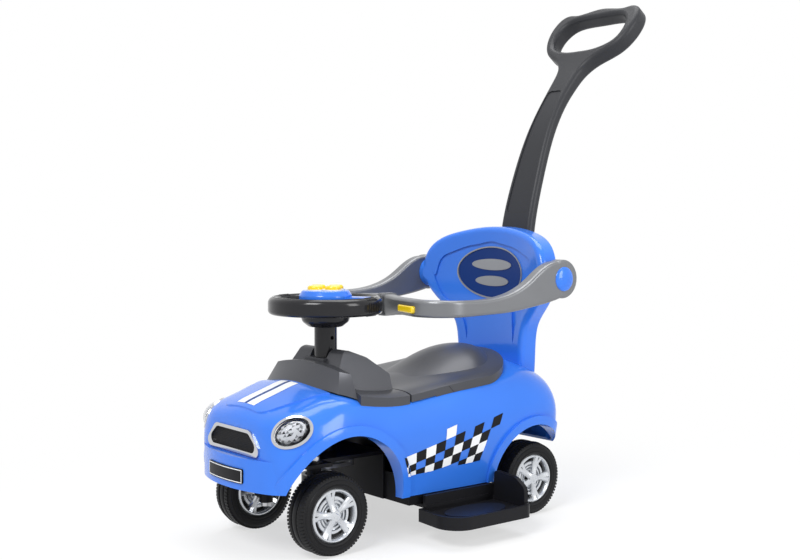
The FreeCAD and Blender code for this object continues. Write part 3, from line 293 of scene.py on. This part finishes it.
def laid(point, way, surface, lift):
    """The point on a surface that is met along a direction, raised a little off it."""
    hit, normal, _, _ = surface.ray_cast(point, way)
    if hit is None:
        hit, normal, _, _ = surface.find_nearest(point)
    if normal.dot(way) > 0:
        normal = -normal
    return hit + normal * lift


def laid_patch(corners, finish, surface, way, lift, cuts):
    """A four-cornered patch laid on a surface, without faces that turn away from where it came."""
    patch = bmesh.new()
    bmesh.ops.create_grid(patch, x_segments=cuts, y_segments=cuts, size=0.5)
    a, b, c, d = corners
    for vert in patch.verts:
        s = vert.co.x + 0.5
        t = vert.co.y + 0.5
        flat = (a * (1 - s) + b * s) * (1 - t) + (d * (1 - s) + c * s) * t
        vert.co = laid(flat, way, surface, lift)
    patch.normal_update()
    steep = [face for face in patch.faces if abs(face.normal.dot(way)) < LEAST_FACING]
    bmesh.ops.delete(patch, geom=steep, context="FACES")
    for face in patch.faces:
        face.material_index = finish
        if face.normal.dot(way) > 0:
            face.normal_flip()
    return patch


def film(name, patches, surface, way, finishes, slot, body="car", lift=FILM_LIFT, cuts=6):
    """A thin printed film: four-cornered patches laid on a surface, each with its own finish."""
    made = [laid_patch(corners, finish, surface, way, lift, cuts) for corners, finish in patches]
    piece(name, merged(made), body, slot, finishes)


# Checker band on each side: its rows from the top, black, white or bare, and its lines in millimetres

CHECKER_ROWS = ["....W.....", "WBWB.B.B.B", "B.B.BWBWB.", "WBWBWB.BW.", "......BWB."]
CHECKER_MARKS = {"B": BLACK, "W": WHITE}
CHECKER_Y = -77.5
CHECKER_PITCH = 18.9
LINE_START = -78.3
LINE_TOP = 136.1
LINE_RISE = 0.22
LINE_CURVE = 0.0002
LOW_LINE = 104.7
LOW_RISE = 0.035
UPPER_ROW = 16
UPPER_GROWTH = 0.011
LOWER_ROW = 11
LOWER_GROWTH = 0.04
FRONT_SLANT = -0.124
SLANT_GROWTH = 0.052
CHECKER_TIP = {1: BLACK, 2: WHITE}
TIP_Y = -86.9
TIP_Z = 135.8
TIP_SLOPE = 0.402


def checker_line(row, y):
    """Height of the line above a row of the checker band, which rises and spreads towards the rear."""
    along = y - LINE_START
    upper = UPPER_ROW + UPPER_GROWTH * along
    lower = LOWER_ROW + LOWER_GROWTH * along
    top = LINE_TOP + LINE_RISE * along + LINE_CURVE * along ** 2
    z = top + upper * (1 - row) if row <= 2 else top - upper - lower * (row - 2)
    return max(z, LOW_LINE + LOW_RISE * along)


def checker_corner(column, row, side):
    y = CHECKER_Y + CHECKER_PITCH * column
    slant = SLANT_GROWTH * column + FRONT_SLANT
    z = checker_line(row, y)
    y += slant * (z - checker_line(2, y))
    return car(side * BESIDE, y, z)


def tip_corner(row, side):
    """Place on the slanted line that ends the band at the front."""
    z = checker_line(row, CHECKER_Y)
    return car(side * BESIDE, TIP_Y + (TIP_Z - z) * TIP_SLOPE, z)


def checker_band(name, side):
    patches = []
    for row, marks in enumerate(CHECKER_ROWS):
        for column, mark in enumerate(marks):
            if mark in CHECKER_MARKS:
                places = ((column, row + 1), (column + 1, row + 1), (column + 1, row), (column, row))
                corners = [checker_corner(c, r, side) for c, r in places]
                patches.append((corners, CHECKER_MARKS[mark]))
    for row, finish in CHECKER_TIP.items():
        low = [tip_corner(row + 1, side), checker_corner(0, row + 1, side)]
        high = [checker_corner(0, row, side), tip_corner(row, side)]
        patches.append((low + high, finish))
    film(name + "_checker", patches, BODY_SURFACE, Vector((-side, 0, 0)), PRINTS, "surround_white", cuts=14)


# Racing stripes on the hood: two sides of each, and its finish

STRIPE_FRONT = -283
STRIPE_REAR = -203
STRIPE_STEPS = 8
STRIPES = [(4, 24, WHITE), (-1.5, 1.5, BLACK), (-24, -4, WHITE)]


def hood_stripes():
    patches = []
    for x0, x1, finish in STRIPES:
        for i in range(STRIPE_STEPS):
            y0 = STRIPE_FRONT + (STRIPE_REAR - STRIPE_FRONT) * i / STRIPE_STEPS
            y1 = STRIPE_FRONT + (STRIPE_REAR - STRIPE_FRONT) * (i + 1) / STRIPE_STEPS
            corners = [car(x, y, ABOVE) for x, y in ((x0, y0), (x1, y0), (x1, y1), (x0, y1))]
            patches.append((corners, finish))
    film("hood_stripes", patches, BODY_SURFACE, Vector((0, 0, -1)), PRINTS, "surround_white", cuts=3)


# Wheels: profiles are places along the axle, outward, and radii, in millimetres

SPIN_STEPS = 96
ON_AXIS = 0.01
SIDEWALL = [
    (18.5, 41.4), (20.6, 42.4), (21.4, 43.8), (21.4, 45.4), (20.5, 46.0), (20.5, 46.8), (21.3, 47.6),
    (21.2, 52.6), (20.3, 53.2), (20.3, 54.0), (20.5, 54.6), (19.4, 56.6), (17.6, 58.6), (15.4, 59.8),
    (12.5, 60.5), (8.0, 61.2), (7.3, 60.9), (7.0, 59.2), (5.0, 59.2), (4.7, 60.9), (4.0, 61.3),
]
HUB_FRONT = [(4.0, 41.4), (4.0, 11.0), (14.5, 11.0), (14.5, 5.1)]
HUB_BACK = [(-21.5, 5.1), (-21.5, 11.0), (-4.0, 11.0), (-4.0, 41.4)]
SHOULDER_LUGS = 68
OUTER_LUG = ((8.6, -1.9, 56.4), (19.2, 1.9, 61.9))
INNER_LUG = ((-17.4, -1.9, 56.4), (-8.6, 1.9, 61.5))
LUG_TAPER = 2.3
LUG_SKEW = 1.8
SIDE_RIBS = 90
SIDE_RIB = ((20.9, -0.45, 48.2), (21.48, 0.45, 51.8))
CAP_RING = [
    (4.0, 38.0), (8.5, 34.4), (15.5, 34.6), (18.6, 35.6),
    (20.6, 37.2), (20.7, 38.6), (18.5, 40.9), (4.0, 40.9),
]
DISH = [
    (4.4, 13.0), (12.0, 13.2), (12.0, 16.0), (8.6, 16.6), (8.6, 18.2), (12.6, 18.8), (12.6, 21.2),
    (8.6, 21.8), (8.6, 23.4), (13.6, 24.0), (13.6, 27.8), (12.6, 28.6), (4.4, 28.8),
]
# Section of the dark ring painted as shade behind the gaps between the spokes
SLOT_SHADE_PROFILE = [(4.2, 28.0), (9.6, 28.0), (9.6, 35.2), (4.2, 35.2)]
BOSS = [(14.8, ON_AXIS), (14.8, 9.4), (20.4, 9.0), (21.6, 7.6), (21.8, ON_AXIS)]
STUD_OUT = 22.2
STUD_FOOT = 5.6
STUD_TOP = 4.0
STUD_HEIGHT = 1.0
CAP_TURN = {"front": math.radians(12), "rear": math.radians(-21)}

# Spokes: each section's radius, half width and place of its face along the axle

SPOKES = 5
SPOKE = [
    (8.0, 5.6, 21.2), (14.0, 5.0, 19.4), (22.0, 5.8, 18.0),
    (29.0, 7.6, 18.4), (33.0, 8.8, 19.2), (36.8, 10.0, 20.2),
]
SPOKE_BACK = 5.0
CREST_DROP = 0.5
EDGE_WIDTH = 2.2
EDGE_DROP = 2.6
SPLIT_FROM = 29.0
SPLIT = 0.16
HALF_GAP = 0.01


def spun(form, profile):
    """Spins a closed profile of (place along the axle, radius) once round the X axis."""
    verts = [form.verts.new((x * MM, 0, r * MM)) for x, r in profile]
    edges = [form.edges.new(pair) for pair in zip(verts, verts[1:] + verts[:1])]
    bmesh.ops.spin(form, geom=verts + edges, cent=(0, 0, 0), axis=(1, 0, 0), angle=math.tau, steps=SPIN_STEPS,
                   use_merge=True, use_duplicate=False)
    bmesh.ops.recalc_face_normals(form, faces=form.faces)


def round_axle(form, verts, angle):
    """Turns some points of a wheel piece round its axle."""
    bmesh.ops.rotate(form, verts=verts, cent=(0, 0, 0), matrix=Matrix.Rotation(angle, 3, "X"))


def place_wheel(form, wheel, side):
    """Turns a wheel piece to its side of the car and moves it to its axle."""
    if side == "right":
        bmesh.ops.scale(form, vec=(-1, 1, 1), verts=form.verts)
        bmesh.ops.reverse_faces(form, faces=form.faces)
    bmesh.ops.translate(form, vec=middle(f"{wheel}_tyre"), verts=form.verts)


def block_at(form, corners, angle, taper=0.0, skew=0.0):
    """A small block on the tyre, given along the axle, across the tread and out from the axle."""
    low, high = (Vector(corner) for corner in corners)
    size = high - low
    centre = (high + low) / 2
    made = bmesh.ops.create_cube(form, size=1.0)["verts"]
    for vert in made:
        x, y, z = vert.co
        vert.co = Vector((x * size.x, y * size.y + skew * x, z * size.z)) + centre
        if z > 0 and x > 0:
            vert.co.z -= taper
        vert.co *= MM
    round_axle(form, made, angle)


def rubber_tyre(wheel, side):
    """Tyre with bead lip, ribbed side wall, grooved tread and a row of shoulder lugs on each edge."""
    form = bmesh.new()
    mirrored = [(-x, r) for x, r in reversed(SIDEWALL)]
    spun(form, SIDEWALL + mirrored + HUB_BACK[::-1] + HUB_FRONT[::-1])
    for i in range(SHOULDER_LUGS):
        angle = math.tau * i / SHOULDER_LUGS
        block_at(form, OUTER_LUG, angle, taper=LUG_TAPER, skew=LUG_SKEW)
        block_at(form, INNER_LUG, angle + math.pi / SHOULDER_LUGS, skew=LUG_SKEW)
    for i in range(SIDE_RIBS):
        block_at(form, SIDE_RIB, math.tau * i / SIDE_RIBS)
    place_wheel(form, wheel, side)
    rubber = piece(f"{wheel}_rubber", form, f"{wheel}_wheel", "tyre_black", smooth_angle=40)
    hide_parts(f"{wheel}_tyre")


def spoke_half(form, hand, angle):
    """Half of a blade spoke, lofted outward; near the ring the two halves part."""
    sections = []
    for radius, half, face in SPOKE:
        inner = HALF_GAP + SPLIT * max(0.0, radius - SPLIT_FROM)
        outline = [
            (SPOKE_BACK, inner), (face, inner), (face - CREST_DROP, half - EDGE_WIDTH),
            (face - EDGE_DROP, half), (SPOKE_BACK, half),
        ]
        sections.append([form.verts.new((x * MM, hand * y * MM, radius * MM)) for x, y in outline])
    for near, far in zip(sections, sections[1:]):
        for i in range(len(near)):
            form.faces.new((near[i - 1], near[i], far[i], far[i - 1]))
    form.faces.new(sections[0])
    form.faces.new(sections[-1])
    round_axle(form, [vert for section in sections for vert in section], angle)


def cap_face(angle):
    """Ring, ringed dish and blade spokes of one hub cap, facing along the axle."""
    form = bmesh.new()
    spun(form, CAP_RING)
    spun(form, DISH)
    for i in range(SPOKES):
        for hand in (1, -1):
            spoke_half(form, hand, angle + math.tau * i / SPOKES)
    return form


def cap_centre(form, angle):
    """Round boss with a small four-sided stud that closes the outer cap."""
    spun(form, BOSS)
    turned = Matrix.Rotation(angle, 4, "X") @ Matrix.Rotation(math.pi / 2, 4, "Y")
    stand = Matrix.Translation((STUD_OUT * MM, 0, 0)) @ turned
    bmesh.ops.create_cone(form, cap_ends=True, segments=4, radius1=STUD_FOOT * MM, radius2=STUD_TOP * MM,
                          depth=STUD_HEIGHT * MM, matrix=stand)


def wheel_caps(wheel, side, angle):
    """Outer and inner hub cap of one wheel, with no boss on the inner one."""
    outer = cap_face(angle)
    cap_centre(outer, angle)
    inner = cap_face(angle)
    bmesh.ops.scale(inner, vec=(-1, 1, 1), verts=inner.verts)
    form = merged([outer, inner])
    bmesh.ops.recalc_face_normals(form, faces=form.faces)
    place_wheel(form, wheel, side)
    caps = piece(f"{wheel}_caps", form, f"{wheel}_wheel", "rim_silver", smooth_angle=30)
    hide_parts(f"{wheel}_hub_caps")


def slot_shade_ring(wheel, side):
    """Dark ring of painted shade behind the gaps between the spokes."""
    form = bmesh.new()
    spun(form, SLOT_SHADE_PROFILE)
    place_wheel(form, wheel, side)
    piece(f"{wheel}_painted_slot_shade", form, f"{wheel}_wheel", "tyre_black", smooth_angle=30)


def wheels():
    for end, angle in CAP_TURN.items():
        for side in SIDES:
            wheel = f"{end}_{side}"
            rubber_tyre(wheel, side)
            wheel_caps(wheel, side, angle)
            slot_shade_ring(wheel, side)


# Headlights

LAMP_PLACE = (111, -272, 192)
LAMP_OUT = math.radians(52)
LAMP_UP = math.radians(26)
LAMP_TILT = math.radians(26)
LENS_A = 27.6 * MM
LENS_B = 19.6 * MM
LENS_TOP = 16 * MM
LENS_WALL = 1.6 * MM
LENS_STEPS = 64
LENS_RINGS = 14
LENS_REACH = math.radians(88)
BOWL_BACK = 4 * MM
BOWL_DEPTH = 12.5 * MM
BOWL_INSET = 0.4 * MM
BOWL_UNEVEN = 0.05
PRISM_HEIGHT = LENS_TOP + BOWL_BACK - 2.6 * MM
PRISM_INSET = 2.4 * MM
PRISM_UNEVEN = 0.1
FACET_WALL = 0.6 * MM
FACET_CUT = 0.02
# Facet shading: the share of the insert's height that keeps painted dark or grey shade, the three painted
# shades, and how they are dealt out by turns
FACET_SHADED_EDGE = 0.3
FACET_PAINTED_SHADES = ["facet_painted_shade", "facet_painted_half_shade", "facet_painted_highlight"]
POINT_TURN = 12.9
SHADE_TURN = 7.7
SHADE_BEND = 0.6
SHADE_REACH = 0.999
# Dark crescent of painted shade on the lens
SHADE_ARC_MIDDLE = math.radians(-38)
SHADE_ARC_REACH = math.radians(72)
SHADE_ARC_STEPS = 24
SHADE_ARC_RISE = math.radians(14)
SHADE_ARC_WIDTH = math.radians(17)
SHADE_ARC_END = 0.05
SHADE_ARC_LIFT = 0.25 * MM


def lamp_frame():
    """Matrix from the left lamp's own axes, across, up and outward, to the car."""
    level = Vector((math.cos(LAMP_OUT), math.sin(LAMP_OUT), 0))
    out = math.sin(LAMP_OUT) * math.cos(LAMP_UP)
    ahead = math.cos(LAMP_OUT) * math.cos(LAMP_UP)
    facing = Vector((out, -ahead, math.sin(LAMP_UP)))
    across = level * math.cos(LAMP_TILT) + facing.cross(level) * math.sin(LAMP_TILT)
    turned = Matrix((across, facing.cross(across), facing)).transposed().to_4x4()
    return Matrix.Translation(car(*LAMP_PLACE)) @ turned


def both_sides(form):
    """The form with its mirror image on the car's right side."""
    twin = bmesh.ops.duplicate(form, geom=whole_of(form))["geom"]
    bmesh.ops.scale(form, vec=(-1, 1, 1), verts=[g for g in twin if isinstance(g, bmesh.types.BMVert)])
    bmesh.ops.reverse_faces(form, faces=[g for g in twin if isinstance(g, bmesh.types.BMFace)])
    return form


def facets(height, inset, uneven):
    """Half of a coarse ball with its points moved a little; a negative height makes a bowl."""
    form = bmesh.new()
    bmesh.ops.create_icosphere(form, subdivisions=3, radius=1.0)
    for i, vert in enumerate(form.verts):
        vert.co *= 1 - uneven * abs(math.sin(POINT_TURN * i))
    bmesh.ops.bisect_plane(form, geom=whole_of(form), plane_co=(0, 0, FACET_CUT), plane_no=(0, 0, -1),
                           clear_outer=True)
    bmesh.ops.scale(form, vec=(LENS_A - inset, LENS_B - inset, height), verts=form.verts)
    bmesh.ops.recalc_face_normals(form, faces=form.faces)
    return form


def paint_facet_shades(form):
    """Paints the facets three shades by turns, painted highlights and painted shade for the glints of cut
    glass; near the edge it paints only the dark or grey shade.
    """
    bright = FACET_PAINTED_SHADES.index("facet_painted_highlight")
    for i, face in enumerate(form.faces):
        share = SHADE_REACH * abs(math.sin(SHADE_TURN * i)) ** SHADE_BEND
        shade = int(len(FACET_PAINTED_SHADES) * share)
        at_edge = face.calc_center_median().z < FACET_SHADED_EDGE * PRISM_HEIGHT
        face.material_index = min(shade, bright - 1) if at_edge else shade


def in_lamps(form):
    """The faceted shell with a wall, set in both lamps."""
    bmesh.ops.solidify(form, geom=form.faces[:], thickness=FACET_WALL)
    place = lamp_frame() @ Matrix.Translation((0, 0, -BOWL_BACK))
    bmesh.ops.transform(form, matrix=place, verts=form.verts)
    return both_sides(form)


def on_lens(angle, rise, inset=0.0):
    """Point of the left lens dome, by the angle round its edge and the rise towards its top."""
    level = math.cos(rise)
    height = (LENS_TOP + BOWL_BACK - inset) * math.sin(rise) - BOWL_BACK
    a = (LENS_A - inset) * level
    b = (LENS_B - inset) * level
    return lamp_frame() @ Vector((a * math.cos(angle), b * math.sin(angle), height))


def lens_ring(form, rise, inset):
    angles = [math.tau * k / LENS_STEPS for k in range(LENS_STEPS)]
    return [form.verts.new(on_lens(angle, rise, inset)) for angle in angles]


def lens_dome():
    """Clear dome with a wall, open at the back where it stands on the reflector."""
    form = bmesh.new()
    rises = [LENS_REACH * i / (LENS_RINGS - 1) for i in range(LENS_RINGS)]
    outer = [lens_ring(form, rise, 0.0) for rise in rises]
    inner = [lens_ring(form, rise, LENS_WALL) for rise in rises]
    order = outer[::-1] + inner
    for near, far in zip(order, order[1:]):
        for k in range(LENS_STEPS):
            form.faces.new((near[k - 1], near[k], far[k], far[k - 1]))
    form.faces.new(outer[-1])
    form.faces.new(inner[-1])
    bmesh.ops.recalc_face_normals(form, faces=form.faces)
    return both_sides(form)


def lamp_painted_shade():
    """Painted shade: a dark crescent on the lens at its rear lower side."""
    form = bmesh.new()
    rows = []
    for i in range(SHADE_ARC_STEPS + 1):
        angle = SHADE_ARC_MIDDLE + SHADE_ARC_REACH * (2 * i / SHADE_ARC_STEPS - 1)
        width = SHADE_ARC_WIDTH * (SHADE_ARC_END + math.sin(math.pi * i / SHADE_ARC_STEPS))
        rises = (SHADE_ARC_RISE, SHADE_ARC_RISE + width)
        rows.append([form.verts.new(on_lens(angle, rise, -SHADE_ARC_LIFT)) for rise in rises])
    for near, far in zip(rows, rows[1:]):
        form.faces.new((near[0], far[0], far[1], near[1]))
    return both_sides(form)


def headlights():
    bowl = in_lamps(facets(-BOWL_DEPTH, BOWL_INSET, BOWL_UNEVEN))
    reflector = piece("lamp_bowls", bowl, "car", "chrome_trim", smooth_angle=1)
    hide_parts("lamp_reflectors")
    lens = piece("lamp_domes", lens_dome(), "car", "clear_lens")
    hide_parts("lamp_lenses")
    # The faceted insert carries painted highlights and painted shade
    insert = facets(PRISM_HEIGHT, PRISM_INSET, PRISM_UNEVEN)
    paint_facet_shades(insert)
    piece("lamp_prisms_painted_glints", in_lamps(insert), "car", "chrome_trim", FACET_PAINTED_SHADES, smooth_angle=1)
    # Dark crescent of painted shade on the lens, in black print
    piece("lamp_painted_shades", lamp_painted_shade(), "car", "black_plastic", ["black_print_and_painted_shade"])


# Steering wheel grips: the section is radii and heights in millimetres

GRIP_ANGLES = (math.radians(22), math.radians(202))
GRIP_RIBS = 6
GRIP_PITCH = math.radians(3.2)
GRIP_RIB = math.radians(1.7)
RIM_SECTION = [
    (74.4, 358), (79, 351.2), (86, 350.6), (91.5, 357), (91.6, 370), (88, 377), (82, 379.7), (77, 377),
]


def rim_grips():
    """Ribs round the rim where the hands hold it."""
    form = bmesh.new()
    for grip in GRIP_ANGLES:
        for i in range(GRIP_RIBS):
            start = grip + GRIP_PITCH * (i - GRIP_RIBS / 2)
            verts = [form.verts.new((r * MM, 0, z * MM)) for r, z in RIM_SECTION]
            rib = form.faces.new(verts)
            bmesh.ops.rotate(form, verts=verts, cent=(0, 0, 0), matrix=Matrix.Rotation(start, 3, "Z"))
            bmesh.ops.spin(form, geom=[rib], cent=(0, 0, 0), axis=(0, 0, 1), angle=GRIP_RIB, steps=2)
    bmesh.ops.recalc_face_normals(form, faces=form.faces)
    bmesh.ops.translate(form, vec=(COLUMN.x, COLUMN.y, 0), verts=form.verts)
    piece("rim_grips", form, "steering", "black_plastic")


# Small lines and borders

PLATE_BORDER = 1.3
PLATE_MARGIN = 1.2
# Ends and width of the groove line painted as shade down each side of the seat
GROOVE_SHADE = ((7, 245), (30, 222))
GROOVE_SHADE_WIDTH = 1.1


def plate_border():
    """White line round the edge of the bare number plate."""
    low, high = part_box("number_plate")
    x = high.x / MM - PLATE_MARGIN
    z0 = low.z / MM + PLATE_MARGIN
    z1 = high.z / MM - PLATE_MARGIN
    inner_x = x - PLATE_BORDER
    inner_z0 = z0 + PLATE_BORDER
    inner_z1 = z1 - PLATE_BORDER
    strips = (
        (-x, x, z0, inner_z0), (-x, x, inner_z1, z1),
        (-x, -inner_x, inner_z0, inner_z1), (inner_x, x, inner_z0, inner_z1),
    )
    patches = []
    for left, right, bottom, top in strips:
        places = ((left, bottom), (right, bottom), (right, top), (left, top))
        patches.append(([car(u, AHEAD, v) for u, v in places], 0))
    film("plate_border", patches, surface_of("number_plate"), Vector((0, 1, 0)), ["print_white"],
         "surround_white", lift=THIN_LIFT)


def seat_groove_shades():
    """Thin moulded groove down each side of the seat, drawn as a dark strip of painted shade."""
    (y0, z0), (y1, z1) = GROOVE_SHADE
    outline = ((y0, z0), (y0 + GROOVE_SHADE_WIDTH, z0), (y1 + GROOVE_SHADE_WIDTH, z1), (y1, z1))
    for name, side in SIDES.items():
        corners = [car(side * BESIDE, y, z) for y, z in outline]
        film(f"{name}_seat_groove_shade", [(corners, 0)], surface_of("seat_lid"), Vector((-side, 0, 0)),
             ["black_print_and_painted_shade"], "black_plastic", body="seat_lid", lift=THIN_LIFT, cuts=8)


# Camera, light and floor

CAMERA_PLACE = (1558.94, -1224.46, 505.36)
CAMERA_LOOK = Vector((-0.78149, 0.62163, -0.05305))
CAMERA_LENS = 54.07
LIGHT_AIM = Vector((0, 0, 0.3))
FLOOR_REACH = 30
SHADOW_FROM = 0.25
SHADOW_TO = 0.95
FLOOR_GLOW = 0.6


def camera():
    data = bpy.data.cameras.new("camera")
    data.sensor_width = 36.0
    data.lens = CAMERA_LENS
    eye = bpy.data.objects.new("camera", data)
    eye.location = car(*CAMERA_PLACE)
    eye.rotation_euler = CAMERA_LOOK.to_track_quat("-Z", "Y").to_euler()
    bpy.context.scene.collection.objects.link(eye)
    bpy.context.scene.camera = eye


def soft_box(name, place, size, power):
    """A soft rectangular light that faces the car."""
    data = bpy.data.lights.new(name, "AREA")
    data.shape = "RECTANGLE"
    data.size, data.size_y = size
    data.energy = power
    lamp = bpy.data.objects.new(name, data)
    lamp.location = place
    lamp.rotation_euler = (LIGHT_AIM - lamp.location).to_track_quat("-Z", "Y").to_euler()
    bpy.context.scene.collection.objects.link(lamp)


def lights():
    soft_box("key_light", place=(0.9, -2.2, 2.4), size=(1.2, 1.2), power=66)
    soft_box("side_light", place=(2.9, 0.9, 1.3), size=(1.1, 1.8), power=46)
    soft_box("top_light", place=(-0.3, 0.5, 2.8), size=(2.0, 1.6), power=44)


def seen_rays(nodes, links):
    """One for the rays by which the eye sees a thing: straight, mirrored or through glass."""
    path = nodes.new("ShaderNodeLightPath")
    value = path.outputs["Is Camera Ray"]
    for name in ("Is Glossy Ray", "Is Transmission Ray"):
        both = nodes.new("ShaderNodeMath")
        both.operation = "MAXIMUM"
        links.new(value, both.inputs[0])
        links.new(path.outputs[name], both.inputs[1])
        value = both.outputs["Value"]
    return value


def mixed(nodes, links, share, first, second):
    """A shader between two others, by a share."""
    mix = nodes.new("ShaderNodeMixShader")
    links.new(share, mix.inputs["Fac"])
    links.new(first, mix.inputs[1])
    links.new(second, mix.inputs[2])
    return mix.outputs["Shader"]


def studio_world():
    """Soft light from all around, which the eye sees as plain white."""
    world = bpy.data.worlds.new("studio")
    bpy.context.scene.world = world
    world.use_nodes = True
    nodes = world.node_tree.nodes
    links = world.node_tree.links
    light = nodes["Background"]
    light.inputs["Color"].default_value = (0.93, 0.96, 1.0, 1)
    light.inputs["Strength"].default_value = 0.34
    white = add(nodes, "ShaderNodeBackground", Color=(1, 1, 1, 1))
    share = seen_rays(nodes, links)
    studio = mixed(nodes, links, share, light.outputs["Background"], white.outputs["Background"])
    links.new(studio, nodes["World Output"].inputs["Surface"])


def pale_floor():
    """Pale grey that fades to the white of the backdrop away from the car."""
    material, nodes, links, shader = new_material("pale_floor")
    shader.inputs["Base Color"].default_value = (0.9, 0.9, 0.9, 1)
    shader.inputs["Roughness"].default_value = 0.9
    shader.inputs["Specular IOR Level"].default_value = 0.0
    glow = nodes.new("ShaderNodeEmission")
    place = nodes.new("ShaderNodeTexCoord")
    length = nodes.new("ShaderNodeVectorMath")
    length.operation = "LENGTH"
    links.new(place.outputs["Object"], length.inputs[0])
    fade = add(nodes, "ShaderNodeMapRange", From_Min=SHADOW_FROM, From_Max=SHADOW_TO, To_Min=FLOOR_GLOW)
    fade.interpolation_type = "SMOOTHSTEP"
    links.new(length.outputs["Value"], fade.inputs["Value"])
    share = nodes.new("ShaderNodeMath")
    share.operation = "MULTIPLY"
    links.new(fade.outputs["Result"], share.inputs[0])
    links.new(seen_rays(nodes, links), share.inputs[1])
    surface = mixed(nodes, links, share.outputs["Value"], shader.outputs["BSDF"], glow.outputs["Emission"])
    links.new(surface, nodes["Material Output"].inputs["Surface"])
    return material


def floor():
    """A wide floor that keeps the car's shadow."""
    form = bmesh.new()
    bmesh.ops.create_grid(form, x_segments=1, y_segments=1, size=FLOOR_REACH)
    mesh = bpy.data.meshes.new("floor")
    form.to_mesh(mesh)
    form.free()
    mesh.materials.append(pale_floor())
    ground = bpy.data.objects.new("floor", mesh)
    bpy.context.scene.collection.objects.link(ground)


dress_cad_nodes()
for side_name, side_sign in SIDES.items():
    checker_band(side_name, side_sign)
hood_stripes()
wheels()
headlights()
rim_grips()
plate_border()
seat_groove_shades()
camera()
lights()
studio_world()
floor()
bpy.context.scene.view_settings.view_transform = "Standard"
